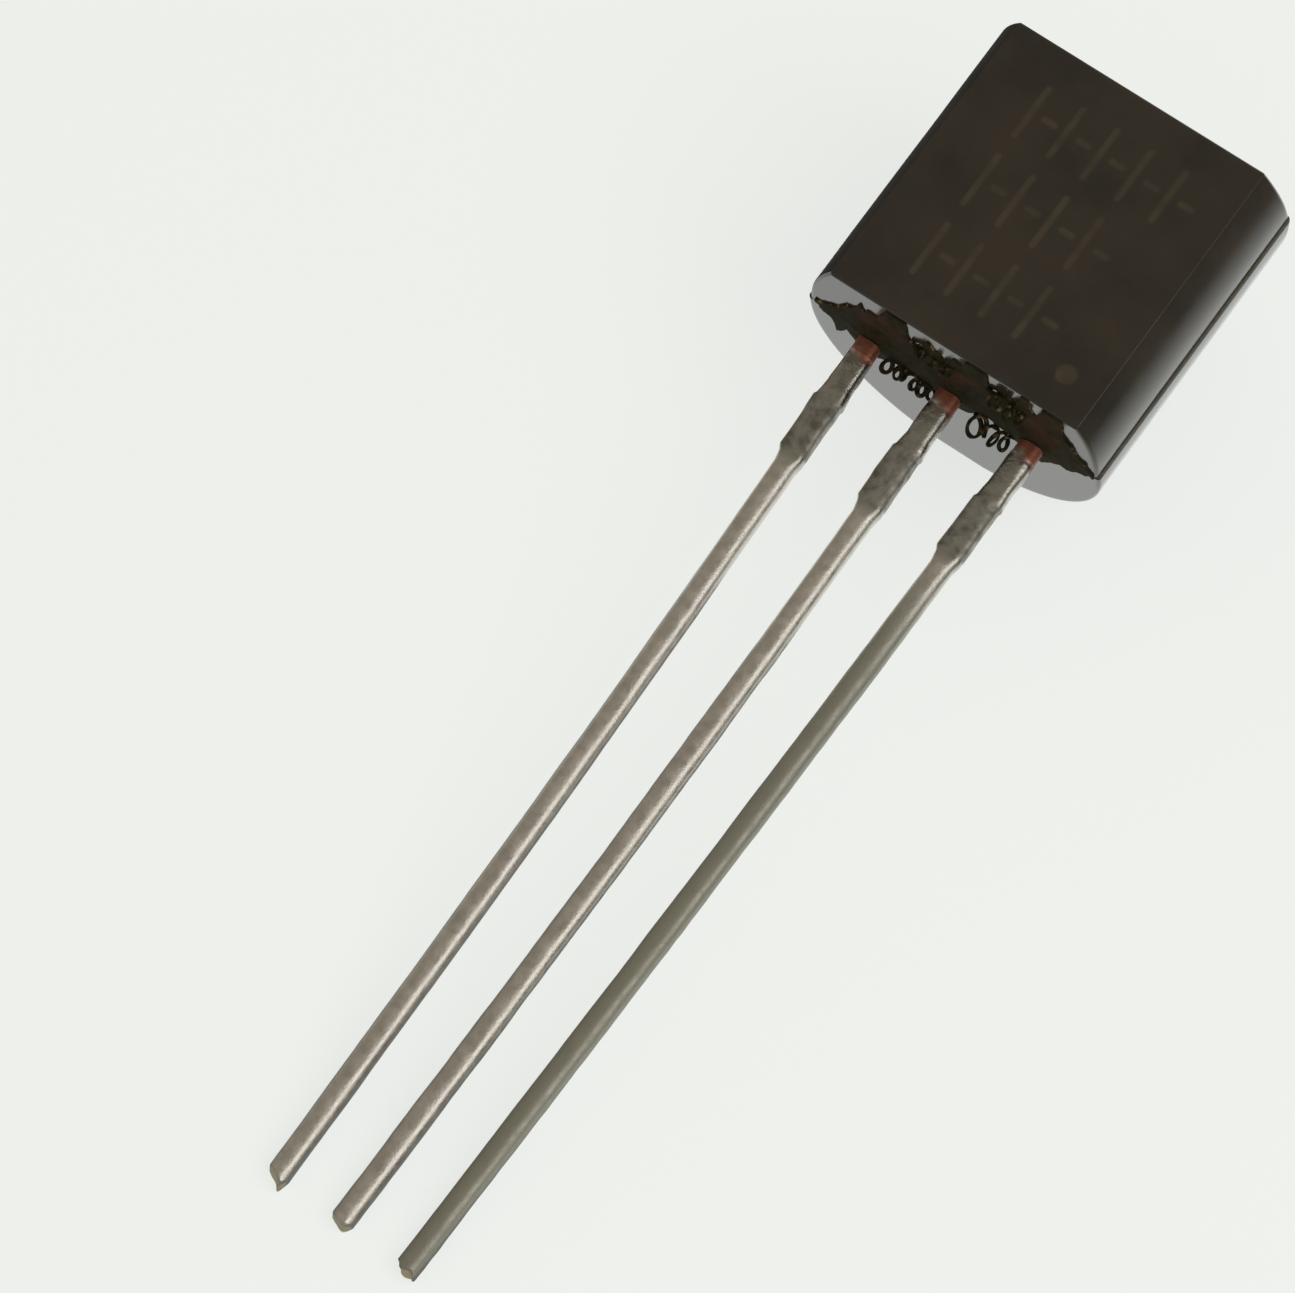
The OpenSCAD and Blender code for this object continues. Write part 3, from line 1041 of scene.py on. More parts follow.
@dataclass
class FlashFilm:
    """The thin torn film of compound round the roots of the leads.

    Heights in the tables are measured from the parting plane.

    Attributes:
        thick: Thickness of the film.
        root_thick: How much thicker it is close round the leads.
        lead_half: Half height of the band round a lead that counts as on it.
        root_reach: Distance from a lead at which that starts.
        root_slope: Distance over which it grows.
        level: Mean of the share of the thickness that the bumps leave.
        bump: How far that share wavers, and the size of the wavering.
        edge: Width of the slope down its edge.
        dip: How deep it lies under the lead end where there is no film.
        buried: How deep its closing underside lies.
        span: Its ends, along x.
        clear: Distance that it keeps from the round sides.
        margin: How far its grid reaches past its edges.
        ragged: How far its edges waver, and the size of the wavering.
        painted_glint_width: Width of the thin strip along its edges.
        rust_at: Middle of the rust: how far right of a lead, and its height.
        rust_reach: Radius of the rust.
        rust_squash: What its height is multiplied by.
        rust_full: Share of the radius at which the rust ends; it is full up to 1 less.
        rust_level: Mean strength of the rust.
        rust_size: Size of its patches.
        front: Edge towards the flat, along x; it dips round the bare places.
        back: Edge towards the back, along x.
        columns: Points along x.
        rows: Points across the film.
        noise: Pattern of all that wavers.
    """

    thick: float = 0.03
    root_thick: float = 0.05
    lead_half: float = 0.1
    root_reach: float = 0.42
    root_slope: float = 0.28
    level: float = 0.85
    bump: Pair = (0.3, 0.24)
    edge: float = 0.035
    dip: float = 0.012
    buried: float = 0.05
    span: Pair = (-2.16, 2.2)
    clear: float = 0.06
    margin: float = 0.12
    ragged: Pair = (0.045, 0.13)
    # painted_glint_width: Width of the strip along its edges where glints are painted, a painted
    # highlight.
    painted_glint_width: float = 0.09
    rust_at: Pair = (0.135, 0.75)
    rust_reach: float = 0.55
    rust_squash: float = 0.8
    rust_full: float = 1.1
    rust_level: float = 0.35
    rust_size: float = 0.3
    front: Knots = field(default_factory=lambda: [
        (-2.21, 0.13), (-2.1, 0.16), (-1.84, 0.32), (-1.69, 0.5), (-1.51, 0.69), (-1.43, 0.91),
        (-1.38, 0.73), (-1.27, 0.78), (-1.18, 0.79), (-1.07, 0.99), (-1.02, 1.22), (-0.73, 1.22),
        (-0.69, 0.8), (-0.65, 0.65), (-0.56, 0.68), (-0.49, 0.8), (-0.39, 1.0), (-0.3, 0.92),
        (-0.2, 0.83), (-0.13, 0.72), (-0.05, 0.82), (0.02, 1.0), (0.14, 0.98), (0.21, 1.12),
        (0.25, 1.22), (0.53, 1.22), (0.57, 0.78), (0.62, 0.7), (0.68, 0.72), (0.75, 0.82),
        (0.83, 0.92), (0.88, 0.85), (0.93, 0.73), (0.98, 0.8), (1.03, 0.95), (1.06, 1.22),
        (1.18, 1.22), (1.21, 0.92), (1.29, 0.86), (1.36, 1.0), (1.4, 1.22), (1.68, 1.22),
        (1.72, 0.8), (1.85, 0.58), (2.0, 0.36), (2.12, 0.2), (2.24, 0.08)])
    back: Knots = field(default_factory=lambda: [
        (-2.2, 0.05), (-2.11, -0.07), (-1.91, -0.17), (-1.86, -0.37), (-1.84, -0.61), (-1.67, -0.32),
        (-1.57, -0.46), (-1.5, -0.7), (-1.2, -0.66), (-1.12, -0.54), (-0.98, -0.5), (-0.88, -0.45),
        (-0.7, -0.5), (-0.5, -0.46), (-0.3, -0.6), (-0.15, -0.5), (0.05, -0.6), (0.22, -0.53),
        (0.37, -0.37), (0.6, -0.3), (0.85, -0.34), (1.05, -0.5), (1.38, -0.66), (1.55, -0.4),
        (1.7, -0.27), (1.8, -0.33), (1.95, -0.17), (2.07, -0.1), (2.24, -0.02)])
    columns: int = 380
    rows: int = 100
    noise: SpaceNoise = field(default_factory=lambda: SpaceNoise(37))

    def presence(self, x: Array, rise: Array) -> Array:
        """How far inside the film a point lies, in millimetres, below 0 outside it.

        It is the smaller of the distances to the two edges, with ragged noise added.

        Args:
            x: Places across the lead end.
            rise: Heights over the parting plane.

        Returns:
            The signed distance, roughly.
        """
        at = np.stack([x, rise, 0 * x], -1)
        ragged = self.ragged[0] * self.noise.layered(at, self.ragged[1], 4)
        return np.minimum(knotted(self.front, x) - rise, rise - knotted(self.back, x)) + ragged

    @staticmethod
    def from_lead(x: Array, shift: float = 0.0) -> Array:
        """Signed distance along x from the middle of the nearest lead, or from a shift off it."""
        return (x - shift + PITCH / 2) % PITCH - PITCH / 2

    def skin(self, body: MouldedBody) -> Skin:
        """The film as a slab over a grid of x and height.

        The top surface stands proud of the lead end inside the film and dips under it outside,
        and every column of the grid is closed under the surface of the body.

        Args:
            body: The body that it lies on.

        Returns:
            The closed surface with the values "thin" and "rusty" on it.
        """
        x = np.linspace(*self.span, self.columns)[:, None]
        limit = np.sqrt(body.radius**2 - x**2) - self.clear
        low = np.maximum(knotted(self.back, x) - self.margin, -limit - body.land / 2)
        high = np.minimum(np.minimum(knotted(self.front, x) + self.margin, limit),
                          body.rise - body.rim_r)
        rise = low + (high - low) * np.linspace(0, 1, self.rows)
        x = x + 0 * rise
        inside = self.presence(x, rise)
        bumps = self.bump[0] * self.noise.layered(np.stack([x, rise, 0 * x], -1) + 3, self.bump[1], 2)
        above_lead = np.maximum(np.abs(rise + SEAM_Z) - self.lead_half, 0)
        near = eased((self.root_reach - np.hypot(self.from_lead(x), above_lead)) / self.root_slope)
        thick = (self.thick + self.root_thick * near) * (self.level + bumps)
        out = -self.dip + eased(inside / self.edge) * (thick + self.dip)
        # Painted highlight: share of painted glints, full at the film's edge and gone a strip's width
        # inside it.
        thin = eased(1 - inside / self.painted_glint_width)

        under = np.zeros((self.columns, 2))
        out = np.concatenate([out, under - self.buried], axis=1)
        thin = np.concatenate([thin, under], axis=1)
        rise = np.concatenate([rise, rise[:, -1:], rise[:, :1]], axis=1)
        x, z = x[:, :1] + 0 * rise, SEAM_Z + rise
        rust = self.noise.layered(np.stack([x, z, 0 * z], -1) + 8, self.rust_size, 2)
        aside, height = self.rust_at
        off = np.hypot(self.from_lead(x, aside), (z - height) * self.rust_squash)
        beside = eased(self.rust_full - off / self.rust_reach)
        rings = np.stack([x, body.end_y(z, False) - out, z], -1)
        return Skin.tube(rings, thin=thin, rusty=np.clip(beside * (self.rust_level + rust), 0, 1))

    def build(self, body: MouldedBody) -> None:
        """Makes the film and dresses it."""
        finished(self.skin(body).made("flash_film_sheet"), FLASH, "moulding_compound")


@dataclass
class FlashCurls:
    """Torn threads of flash that curl between the leads.

    Attributes:
        thread_r: Radius of a thread.
        thread_change: How far that wavers, as a share, and the size of the wavering.
        swing_change: The same for the radius of the loops.
        drift: How far the path wavers along x, and the size of the wavering.
        climb: The same for its height.
        squash: Height of a loop as a share of its width.
        sunk: How deep a loop starts under the lead end.
        thin: Share of painted glint on the threads, a painted highlight, from 0 to 1.
        loop_points: Rings in a loop.
        ring_points: Points round a ring.
        runs: Start and end x of each thread, its height, its swing and its number of loops.
        noise: Pattern of all that wavers.
    """

    thread_r: float = 0.028
    thread_change: Pair = (0.35, 0.1)
    swing_change: Pair = (0.5, 0.4)
    drift: Pair = (0.05, 0.3)
    climb: Pair = (0.12, 0.6)
    squash: float = 0.7
    sunk: float = 0.025
    thin: float = 0.7
    loop_points: int = 44
    ring_points: int = 8
    runs: tuple[tuple[float, float, float, float, int], ...] = (
        (-1.0, -0.25, -0.4, 0.075, 6), (0.32, 0.98, -0.42, 0.095, 4),
        (-0.6, 0.05, 0.68, 0.05, 5), (0.6, 1.12, 0.66, 0.06, 4))
    noise: SpaceNoise = field(default_factory=lambda: SpaceNoise(41))

    def thread(self, body: MouldedBody, start: float, end: float, rise: float, swing: float,
               loops: int) -> Skin:
        """One thread: a circle carried along a looping path.

        The path steps along x while it circles, so that it crosses itself once a turn, and it
        wanders by noise. Each loop stands out of the lead end on one side.

        Args:
            body: The body that it lies on.
            start: Where it starts, across the lead end.
            end: Where it ends.
            rise: Height of its middle over the parting plane.
            swing: Radius of its loops.
            loops: Number of loops.

        Returns:
            The closed thread with the values "thin" and "rusty" on it.
        """
        t = np.linspace(0, 1, self.loop_points * loops)
        a = 2 * math.pi * loops * t
        seed = np.stack([t * 3, 0 * t + start, 0 * t], -1)

        def wavering(kind: Pair, part: int) -> Array:
            """Noise along the thread, of a height and a size, from one part of the pattern."""
            return kind[0] * self.noise(seed + part, kind[1])

        turn = swing * (1 + wavering(self.swing_change, 5))
        x = start + (end - start) * t + turn * np.sin(a) + wavering(self.drift, 0)
        z = SEAM_Z + rise + self.squash * turn * np.cos(a) + wavering(self.climb, 7)
        y = body.end_y(z, False) - self.sunk - turn * (1 - np.cos(a))
        path = np.stack([x, y, z], -1)
        ahead = np.gradient(path, axis=0)
        ahead /= np.linalg.norm(ahead, axis=1, keepdims=True)
        side = np.cross(ahead, [0, 1, 0])
        side /= np.linalg.norm(side, axis=1, keepdims=True)
        over = np.cross(side, ahead)
        b = np.linspace(0, 2 * math.pi, self.ring_points, endpoint=False)[:, None]
        r = self.thread_r * (1 + wavering(self.thread_change, 9))[:, None, None]
        rings = path[:, None] + r * (np.cos(b) * side[:, None] + np.sin(b) * over[:, None])
        plain = np.zeros(rings.shape[:2])
        # The threads carry the painted glints of the flash finish all along.
        return Skin.tube(rings, thin=plain + self.thin, rusty=plain)

    def build(self, body: MouldedBody) -> None:
        """Makes the threads as one piece and dresses it."""
        threads = [self.thread(body, *run) for run in self.runs]
        finished(Skin.joined(threads).made("flash_curl_threads"), FLASH, "moulding_compound")


# ---- Leads ----


class Place(Enum):
    """Which of the three leads it is, seen from the front with the leads pointing down."""

    LEFT = -1
    CENTRE = 0
    RIGHT = 1


@dataclass
class Lead:
    """One stamped lead: the plate inside the body, its stem, and the tinned run to the cut tip.

    Attributes:
        place: Which lead it is.
        node: The CAD node that it stands for.
        length: From the body to the tip.
        lean: How far the tip stands aside.
        bow: How far the middle bows aside.
        tip_slope: Slope of the cut across the tip.
        roll: Turn of the section about the lead, in degrees.
        plate: Half widths of the plate inside the body, by distance from the lead end.
        plate_x: Middle of the plate.
        spur: Place across the tip, half width and length of a burr, all in millimetres.
        notch: Place across the tip, half width and depth of a notch, the depth below 0.
        round_end: How far the corners of the cut stand back from its middle.
        undercut: How far the foot of the cut stands back from its top, or out if below 0.
        fullness: Power of the tinned section; 2 is an ellipse, and a large one a box.
        dull: How much rougher, darker and more olive the tin is, from 0 to 1.
        metal: Thickness of the bare metal.
        neck_w: Width at the root.
        coat: Thickness of the tin.
        main_w: Width of the long run, tinned.
        stub: Start and end of the cut tie bar.
        stub_w: Width over the stub.
        bare: Length of bare metal at the root.
        corner_r: Radius of the tinned corners.
        rest_len: Length of a lead whose tip needs no lift to meet the table.
        coat_step: Length over which the tin rises from the bare metal.
        coat_blend: Length over which the section takes its tinned form.
        plate_r: Radius of the corners inside the body.
        bare_r: Radius of the corners of the bare root.
        arc_points: Points round a corner.
        between: Places of the points on the straight between two corners, as shares.
        shoulder: Length over which it widens to the stub.
        taper: Where behind the stub it is half and fully narrowed.
        stub_shift: How far the stub stands aside.
        stub_ahead: How far ahead of the stub that shift starts.
        stub_blend: Lengths over which it comes and goes.
        stub_fuller: How much is added to the power on the stub.
        lumps: Size and height of each kind of lump in the tin.
        stub_lumps: How much higher the lumps are on the stub, as a share.
        neck_wear: Wear of the neck; the stub's is 1.
        wear_start: Length over which each wear starts.
        wear_end: How far past the stub it ends, and over what length.
        tip_edge: Length of the eased edge at the tip.
        tip_round: How far that edge is drawn in.
        tip_scales: Sizes of the rings over the cut, as shares of the section.
        slant_length: Length over which the rings lean over to the cut.
        end_power: Power of the curve by which the corners of the cut stand back.
        cut_rough: Height and size of the roughness of the cut.
        roll_span: Where the roll starts, and over what length it grows.
        bare_past: How far the bare colour reaches past the bare metal.
        bare_blend: Length over which it goes over to tin.
        bare_ragged: How far its edge wavers, and the size of the wavering.
        bare_lean: How much further it reaches on the right than in the middle.
        brass_patch: How strongly the brass of the cut is broken up, and the size of that.
        dull_span: Where the dull tin starts, and over what length it comes.
    """

    place: Place
    node: str
    length: float
    lean: float
    bow: float
    tip_slope: float
    roll: float
    plate: Knots
    plate_x: float
    spur: Point
    notch: Point
    round_end: float
    undercut: float
    fullness: float = 2.5
    dull: float = 0.0
    metal: float = 0.28
    neck_w: float = 0.34
    coat: float = 0.01
    main_w: float = 0.33
    stub: Pair = (1.05, 1.85)
    stub_w: float = 0.41
    bare: float = 0.26
    corner_r: float = 0.11
    rest_len: float = 13.5
    coat_step: float = 0.005
    coat_blend: float = 0.05
    plate_r: float = 0.015
    bare_r: float = 0.1
    arc_points: int = 9
    between: Point = (0.25, 0.5, 0.75)
    shoulder: float = 0.25
    taper: Pair = (0.09, 0.22)
    stub_shift: float = 0.02
    stub_ahead: float = 0.04
    stub_blend: Pair = (0.05, 0.1)
    stub_fuller: float = 1.5
    lumps: tuple[tuple[Point, float], ...] = (
        ((0.25, 0.7, 0.25), 0.006), ((0.12, 0.16, 0.12), 0.003))
    stub_lumps: float = 1.3
    neck_wear: float = 0.85
    wear_start: float = 0.12
    wear_end: Pair = (0.3, 0.32)
    tip_edge: float = 0.06
    tip_round: float = 0.02
    tip_scales: tuple[float, ...] = (0.93, 0.8, 0.55, 0.25)
    slant_length: float = 0.3
    end_power: float = 2.5
    cut_rough: Pair = (0.006, 0.06)
    roll_span: Pair = (2.0, 3.0)
    bare_past: float = 0.12
    bare_blend: float = 0.18
    bare_ragged: Pair = (0.09, 0.11)
    bare_lean: float = 0.04
    brass_patch: Pair = (0.35, 0.05)
    dull_span: Pair = (1.9, 1.5)

    def stations(self) -> Array:
        """Places the rings from the far end of the plate to the tip, closest where it changes.

        Returns:
            Their distances from the lead end, which are negative inside the body.
        """
        inside = [-p for p, _ in reversed(self.plate)]
        start, end = self.stub
        slant = self.length - self.slant_length
        stretches = (                           # first and last ring, and how many
            (-0.1, self.bare, 16), (self.bare + self.coat_step, start - 0.05, 34),
            (start - 0.04, start + 0.01, 6), (start + 0.03, end - 0.02, 36),
            (end, end + 0.16, 12), (end + 0.18, slant - 0.02, 400), (slant, self.length, 26))
        return np.concatenate([inside, *(np.linspace(*stretch) for stretch in stretches)])

    def sizes(self, s: Array) -> tuple[Array, Array, Array, Array]:
        """Width, thickness, corner radius and sideways shift of the section at each station.

        Inside the body they follow the plate. Outside, the stem is tinned from the end of the bare
        root on, widens at the stub of the tie bar, and narrows to the long run.

        Args:
            s: Distances from the lead end.

        Returns:
            The four sizes, one value per station in each.
        """
        start, end = self.stub
        root = self.neck_w + 2 * self.coat
        half_way, narrowed = self.taper
        outside = [(0, self.neck_w), (self.bare, self.neck_w), (self.bare + self.coat_step, root),
                   (start - self.shoulder, root), (start, self.stub_w), (end, self.stub_w),
                   (end + half_way, (self.stub_w + self.main_w) / 2), (end + narrowed, self.main_w)]
        inner = [(-p, 2 * w) for p, w in reversed(self.plate)]
        width = knotted(inner + outside, s)
        tinned = s > self.bare
        thick = np.where(tinned, self.metal + 2 * self.coat, self.metal)
        radius = np.where(tinned, self.corner_r, np.where(s < 0, self.plate_r, self.bare_r))
        foot = -min(p for p, _ in self.plate)
        aside = np.where(s < foot - TINY, self.plate_x - self.place.value * PITCH, 0.0)
        comes, goes = self.stub_blend
        on_stub = eased((s - start + self.stub_ahead) / comes) * eased((end + goes - s) / goes)
        return width, thick, radius, aside - self.stub_shift * on_stub

    def line(self, s: Array) -> tuple[Array, Array]:
        """The centre line: a lean plus half a sine wave aside, and a lift by the square of s.

        Args:
            s: Distances from the lead end.

        Returns:
            Its x and z.
        """
        out = np.clip(s / self.length, 0, None)
        x = self.place.value * PITCH + self.lean * out + self.bow * np.sin(math.pi * out)
        return x, (self.length - self.rest_len) * math.tan(POSE.tilt) * out**2

    def section(self, width: Array, thick: Array, radius: Array) -> Array:
        """A rounded rectangle for every station.

        Each quarter is an arc about its corner's centre and a few points on the straight that
        follows, which blend the arc's end into the next arc's start.

        Args:
            width: Size across, per station.
            thick: Size through, per station.
            radius: Corner radius, per station.

        Returns:
            Across, up, and the outward normal's two parts, each of shape (stations, points).
        """
        quarter = np.arange(4)[:, None]
        a = math.pi / 2 * (quarter + np.linspace(0, 1, self.arc_points)[None])
        sx = np.where((quarter == 0) | (quarter == 3), 1, -1)
        sz = np.where(quarter < 2, 1, -1)
        w, t, r = (v[:, None, None] for v in (width, thick, radius))
        arcs = np.stack([sx * (w / 2 - r) + r * np.cos(a), sz * (t / 2 - r) + r * np.sin(a)])
        normals = np.stack([np.cos(a) + 0 * w, np.sin(a) + 0 * w])
        grid = np.concatenate([arcs, normals])
        end, start = grid[..., -1:], np.roll(grid[..., :1], -1, axis=-2)
        straight = end + (start - end) * np.array(self.between)
        return np.concatenate([grid, straight], axis=-1).reshape(len(grid), len(width), -1)

    def worn(self, far: Array) -> Array:
        """How worn the tin is: less on the neck than on the stub of the tie bar, else 0.

        Args:
            far: Distances from the lead end.

        Returns:
            Values from 0 to 1.
        """
        neck = self.neck_wear * eased((far - self.bare) / self.wear_start)
        to_stub = far - self.stub[0] + self.wear_start
        stub = (1 - self.neck_wear) * eased(to_stub / self.wear_start)
        past, length = self.wear_end
        return (neck + stub) * eased((self.stub[1] + past - far) / length)

    def crown(self, across: Array, up: Array, far: Array) -> Array:
        """How far each point of the section is drawn in, as a share of its distance.

        The tinned section is drawn in to |x/a|^p + |z/b|^p = 1. The share is that sum to the
        power of -1/p.

        Args:
            across: Places across the lead, as shares of half the width.
            up: Places through it, as shares of half the thickness.
            far: Distances from the lead end.

        Returns:
            The share, which is 1 on bare metal.
        """
        power = self.fullness + self.stub_fuller * self.worn(far)
        radial = (np.abs(across) ** power + np.abs(up) ** power) ** (-1 / power)
        return 1 + (radial - 1) * eased((far - self.bare) / self.coat_blend)

    def swelling(self, noise: SpaceNoise, at: Array, far: Array) -> Array:
        """How far the surface stands out: lumps in the tin, and an eased edge at the tip.

        Args:
            noise: Pattern of the lumps.
            at: Places in the pattern.
            far: Distances from the lead end.

        Returns:
            The height over the section, in millimetres.
        """
        tinned = eased((far - self.bare) / self.coat_blend)
        tip = eased((far - self.length + self.tip_edge) / self.tip_edge)
        lumps = sum(noise(at + 4 * k, size) * tall for k, (size, tall) in enumerate(self.lumps))
        lumps = tinned * lumps * (1 + self.stub_lumps * self.worn(far)) * (1 - tip)
        return lumps - self.tip_round * tip**3

    def set_back(self, across: Array, up: Array, half_w: Array, far: Array) -> Array:
        """How far the cut tip stands back towards the body.

        It slants with x, its corners stand back by a power of x, its foot by an eased step of
        z, and a burr and a notch are bell curves of x.

        Args:
            across: Places across the lead.
            up: Places through it.
            half_w: Half the width.
            far: Distances from the lead end.

        Returns:
            The distance, in millimetres.
        """
        slant = np.clip((far - self.length + self.slant_length) / self.slant_length, 0, 1)
        back = slant * (abs(self.tip_slope) * self.main_w / 2 - self.tip_slope * across
                        + self.round_end * np.abs(across / half_w) ** self.end_power
                        + self.undercut * eased(0.5 - up / self.main_w))
        for place, half, size in (self.spur, self.notch):
            back = back - np.exp(-(((across - place) / half) ** 2)) * size * slant**3
        return back

    def marks(self, noise: SpaceNoise, at: Array, across: Array, far: Array,
              shrink: Array) -> dict[str, Array]:
        """What is painted on the surface.

        The bare colour ends in a ragged line, a little further out on the right. The brass of
        the cut is broken up by noise, and strongest on the rings that shrink.

        Args:
            noise: Pattern of the edges.
            at: Places in the pattern.
            across: Places across the lead.
            far: Distances from the lead end.
            shrink: Size of each ring, as a share of the section.

        Returns:
            The values "bare", "worn", "cut" and "dull", each from 0 to 1.
        """
        tall, size = self.bare_ragged
        ragged = far + tall * noise.layered(at + 2, size)
        ragged = ragged - self.bare_lean * np.sign(across) * (far < self.stub[0])
        broken = self.brass_patch[0] * noise(at, self.brass_patch[1])
        start, length = self.dull_span
        return {"bare": eased((self.bare + self.bare_past - ragged) / self.bare_blend),
                "worn": self.worn(far) + 0 * across,
                "cut": eased((shrink < 1) + broken) * (far >= self.length - TINY),
                "dull": self.dull * eased((far - start) / length) + 0 * across}

    def skin(self) -> Skin:
        """The lead as rings along its centre line, closed over the cut tip.

        Each ring is the section, drawn in to its crown and swollen by the lumps. Near the tip it
        leans over to the cut, and the last rings shrink over the cut. Then it is turned by the
        roll and put on the centre line.

        Returns:
            The closed surface with the values "bare", "worn", "cut" and "dull" on it.
        """
        noise = SpaceNoise(50 + self.place.value)
        s = self.stations()
        shrink = np.concatenate([np.ones(len(s)), self.tip_scales])[:, None]
        s = np.concatenate([s, np.full(len(self.tip_scales), self.length)])
        width, thick, radius, aside = self.sizes(s)
        across, up, nx, nz = self.section(width, thick, radius)
        far, half_w, half_t = s[:, None], width[:, None] / 2, thick[:, None] / 2
        crown = self.crown(across / half_w, up / half_t, far)
        across, up = across * crown, up * crown

        at = np.stack([across, far + 0 * across, up], -1) + 10 * self.place.value
        swelling = self.swelling(noise, at, far)
        across, up = (across + nx * swelling) * shrink, (up + nz * swelling) * shrink
        rough = self.cut_rough[0] * noise(at, self.cut_rough[1]) * (far >= self.length - TINY)
        y = self.set_back(across, up, half_w, far) - far + rough
        roll = math.radians(self.roll) * eased((far - self.roll_span[0]) / self.roll_span[1])
        mid_x, mid_z = (v[:, None] for v in self.line(s))
        points = np.stack([mid_x + aside[:, None] + across * np.cos(roll) - up * np.sin(roll), y,
                           mid_z + across * np.sin(roll) + up * np.cos(roll)], -1)
        return Skin.tube(points, **self.marks(noise, at, across, far, shrink))

    def build(self) -> None:
        """Makes the lead and dresses it."""
        finished(self.skin().made(self.node + "_surface", sharp=50), TIN, "tinned_copper_alloy",
                 self.node)


@dataclass
class LeadFrame:
    """The three leads.

    Attributes:
        post: Half widths of the bond post that ends an outer lead, by distance from the lead end.
        paddle: Half widths of the paddle that ends the middle lead.
        post_x: How far from the middle the posts are.
    """

    post: Knots = field(default_factory=lambda: [
        (0.7, 0.165), (0.701, 0.22), (0.82, 0.34), (2.28, 0.34), (2.4, 0.22)])
    paddle: Knots = field(default_factory=lambda: [
        (1.3, 0.165), (1.301, 0.63), (1.42, 0.75), (3.18, 0.75), (3.3, 0.63)])
    post_x: float = 1.31

    def build(self) -> None:
        """Makes all three leads."""
        Lead(Place.LEFT, "left_lead", length=13.52, lean=0.32, bow=0.06, tip_slope=0.5, roll=-3.0,
             plate=self.post, plate_x=-self.post_x, spur=(0.09, 0.045, 0.04),
             notch=(0.165, 0.04, -0.17), round_end=0.0, undercut=-0.05).build()
        Lead(Place.CENTRE, "centre_lead_with_paddle", length=13.5, lean=0.06, bow=0.06,
             tip_slope=0.2, roll=-3.0, plate=self.paddle, plate_x=0.0, spur=(0.04, 0.09, 0.02),
             notch=(0.165, 0.06, -0.08), round_end=0.02, undercut=-0.03).build()
        Lead(Place.RIGHT, "right_lead", length=13.58, lean=-0.18, bow=0.03, tip_slope=-0.35,
             roll=8.0, plate=self.post, plate_x=self.post_x, spur=(0.155, 0.03, 0.08),
             notch=(-0.165, 0.08, -0.2), round_end=0.0, undercut=-0.03, dull=1.0).build()


# ---- Inside the body ----


class Inside(Enum):
    """The parts of the frame inside the body that keep their own shape, with their finishes."""

    DIE = ("die", SILICON)
    ADHESIVE = ("die_adhesive", ADHESIVE)
    LEAD_WIRE = ("bond_wire_to_right_lead", GOLD)
    PADDLE_WIRE = ("bond_wire_to_paddle", GOLD)

    def dress(self) -> None:
        """Gives the node its finish."""
        node, finish = self.value
        finished(frame["nodes"][node], finish)


# ---- Studio ----


@dataclass(frozen=True)
class Card:
    """A glowing sheet close over the floor that only reflections see.

    Attributes:
        name: Name of the card.
        low: Its near left corner, in millimetres.
        high: Its far right corner.
        glow: Strength of its light before and beyond the fade.
        fade: Where along x the strength starts and stops changing.
    """

    name: str
    low: Pair
    high: Pair
    glow: Pair
    fade: Pair = (0.0, 1.0)


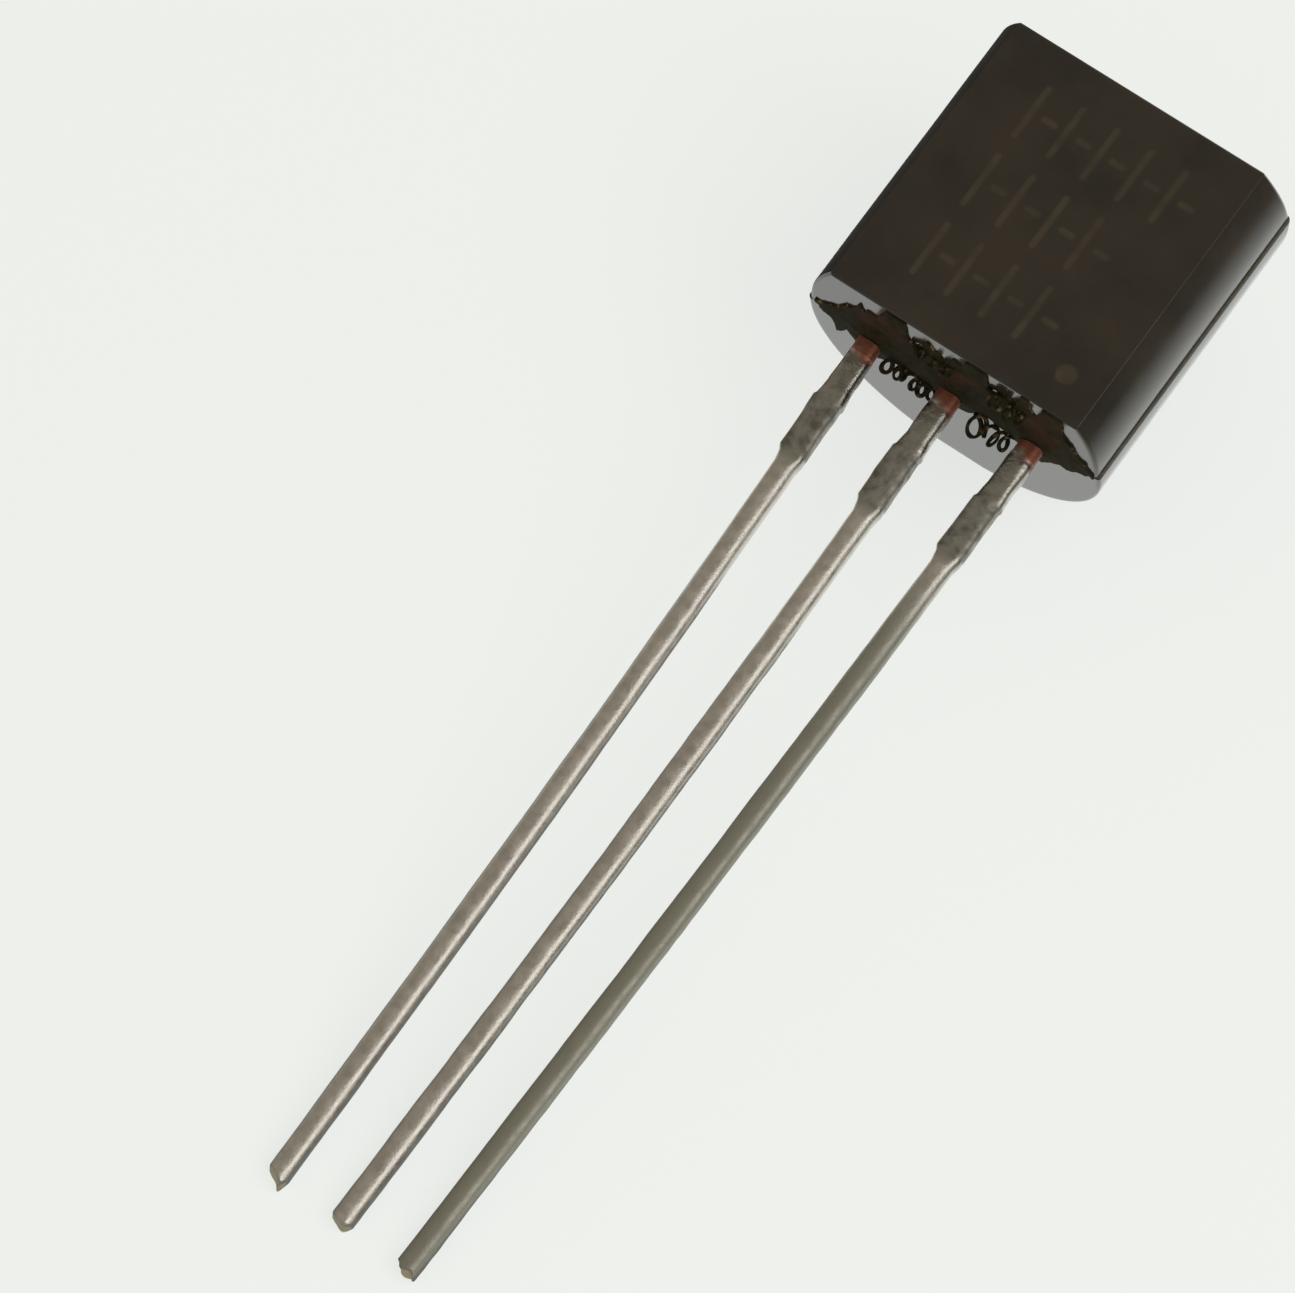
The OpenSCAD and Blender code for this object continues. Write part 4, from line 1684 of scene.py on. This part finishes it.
@dataclass(frozen=True)
class Studio:
    """Pale floor that glows a little, dim sky, one soft lamp, and the camera.

    Attributes:
        stand: Where the camera stands, in the device frame.
        aim: What it looks at, in the device frame.
        roll: Turn about its line of sight, in degrees.
        lens: Focal length.
        sensor: Width of the sensor.
        nearest: Nearest distance that the camera sees.
        floor: Colour of the floor.
        floor_half: Half the side of the floor.
        floor_rough: Roughness of the floor.
        albedo: Share of the light on the floor that it scatters back.
        glow: Strength of the floor's own light.
        sky: Strength of the sky.
        sky_color: Colour of the sky.
        lamp_from: Direction of the lamp, from the body.
        lamp_away: Distance of the lamp.
        lamp_size: Length and width of the lamp.
        lamp_power: Radiant power of the lamp, in watts.
        cards: What the sides and the leads mirror: bright beside the body, dim elsewhere.
        card_z: Height of the cards over the floor.
    """

    stand: Point = (21.98376, -29.08355, 90.19519)
    aim: Point = (-1.18954, -5.11224, 0.14)
    roll: float = 4.49744
    lens: float = 209.3423
    sensor: float = 36.0
    nearest: float = 1.0
    floor: Color = (0.852, 0.88, 0.857)
    floor_half: float = 400.0
    floor_rough: float = 0.8
    albedo: float = 0.3
    glow: float = 0.84
    sky: float = 0.37
    sky_color: Color = (1.0, 0.93, 0.78)
    lamp_from: Point = (0.6, 0.0, 0.8)
    lamp_away: float = 90.0
    lamp_size: Pair = (60.0, 60.0)
    lamp_power: float = 0.02
    cards: tuple[Card, ...] = (
        Card("bright_card", (-3.4, 1.4), (300, 120), (1.3, 0.18), (3.8, 8.5)),
        Card("right_dim_card", (6.2, -60), (300, 1.4), (0.2, 0.2)),
        Card("left_dim_card", (-120, 5.0), (-3.4, 120), (0.06, 0.06)),
        Card("near_dim_card", (-5.0, -60), (1.6, 1.4), (0.3, 0.3)))
    card_z: float = 0.05

    def camera(self) -> None:
        """Stands the camera, looking along its line of sight with the given roll."""
        stand, aim = (Vector(p) for p in POSE.place(np.array([self.stand, self.aim])))
        camera = in_scene("camera", bpy.data.cameras.new("camera"))
        turn = (aim - stand).to_track_quat("-Z", "Y").to_matrix()
        turn = turn @ Matrix.Rotation(math.radians(self.roll), 3, "Z")
        camera.matrix_world = Matrix.Translation(stand) @ turn.to_4x4()
        camera.data.sensor_width = self.sensor
        camera.data.lens = self.lens
        camera.data.clip_start = self.nearest * MM
        bpy.context.scene.camera = camera

    def sheet(self, name: str, low: Pair, high: Pair, z: float) -> bpy.types.Object:
        """A level sheet as part of the stage.

        Args:
            name: Name of the sheet.
            low: Its near left corner, in millimetres.
            high: Its far right corner.
            z: Its height.

        Returns:
            The object.
        """
        (left, near), (right, far) = low, high
        corners = [(left, near, z), (right, near, z), (right, far, z), (left, far, z)]
        mesh = bpy.data.meshes.new(name)
        mesh.from_pydata((np.array(corners) * MM).tolist(), [], [(0, 1, 2, 3)])
        sheet = in_scene(name, mesh)
        return sheet

    def ground(self) -> None:
        """Lays the floor, whose glow keeps the shadow on it faint."""
        half = self.floor_half
        sheet = self.sheet("floor", (-half, -half), (half, half), 0)
        material, nodes = blank_material("pale_floor")
        shader = nodes.add("BsdfPrincipled", {
            "Base Color": (*(c * self.albedo for c in self.floor), 1),
            "Roughness": self.floor_rough, "Specular IOR Level": 0.0,
            "Emission Color": (*self.floor, 1), "Emission Strength": self.glow})
        nodes.add("OutputMaterial", {"Surface": shader.outputs["BSDF"]})
        sheet.data.materials.append(material)

    def lay(self, card: Card) -> None:
        """Lays a card over the floor and hides it from all but reflections.

        Args:
            card: The card.
        """
        sheet = self.sheet(card.name, card.low, card.high, self.card_z)
        material, nodes = blank_material(card.name)
        x = nodes.add("SeparateXYZ", {"Vector": nodes.place()}).outputs["X"]
        strength = nodes.ranged(x, *(v * MM for v in card.fade), *card.glow)
        shader = nodes.add("Emission", {"Color": (*self.floor, 1), "Strength": strength})
        nodes.add("OutputMaterial", {"Surface": shader.outputs["Emission"]})
        sheet.data.materials.append(material)
        for ray in ("camera", "diffuse", "shadow", "transmission", "volume_scatter"):
            setattr(sheet, "visible_" + ray, False)

    def lights(self) -> None:
        """Lights the sky evenly and hangs the lamp, turned to the body."""
        world = bpy.data.worlds.new("sky")
        world.use_nodes = True
        nodes = Nodes(world.node_tree)
        sky = nodes.add("Background", {"Color": (*self.sky_color, 1), "Strength": self.sky})
        nodes.add("OutputWorld", {"Surface": sky.outputs["Background"]})
        bpy.context.scene.world = world
        lamp = bpy.data.lights.new("soft_lamp", "AREA")
        lamp.shape = "RECTANGLE"
        lamp.size_y, lamp.size = (v * MM for v in self.lamp_size)
        lamp.energy = self.lamp_power
        away = Vector(self.lamp_from).normalized()
        hung = in_scene("soft_lamp", lamp)
        hung.matrix_world = (Matrix.Translation(away * self.lamp_away * MM)
                             @ away.to_track_quat("Z", "Y").to_matrix().to_4x4())

    def build(self) -> None:
        """Sets up everything round the chip."""
        self.camera()
        self.ground()
        for card in self.cards:
            self.lay(card)
        self.lights()
        bpy.context.scene.view_settings.view_transform = "Standard"


def main() -> None:
    """Builds the chip piece by piece, then the studio."""
    logging.basicConfig(level=logging.INFO, format="%(message)s")
    Studio().build()
    body = MouldedBody()
    body.build(Marking())
    PartingLine().build(body)
    FlashFilm().build(body)
    FlashCurls().build(body)
    LeadFrame().build()
    for part in Inside:
        part.dress()


if __name__ == "__main__":
    main()
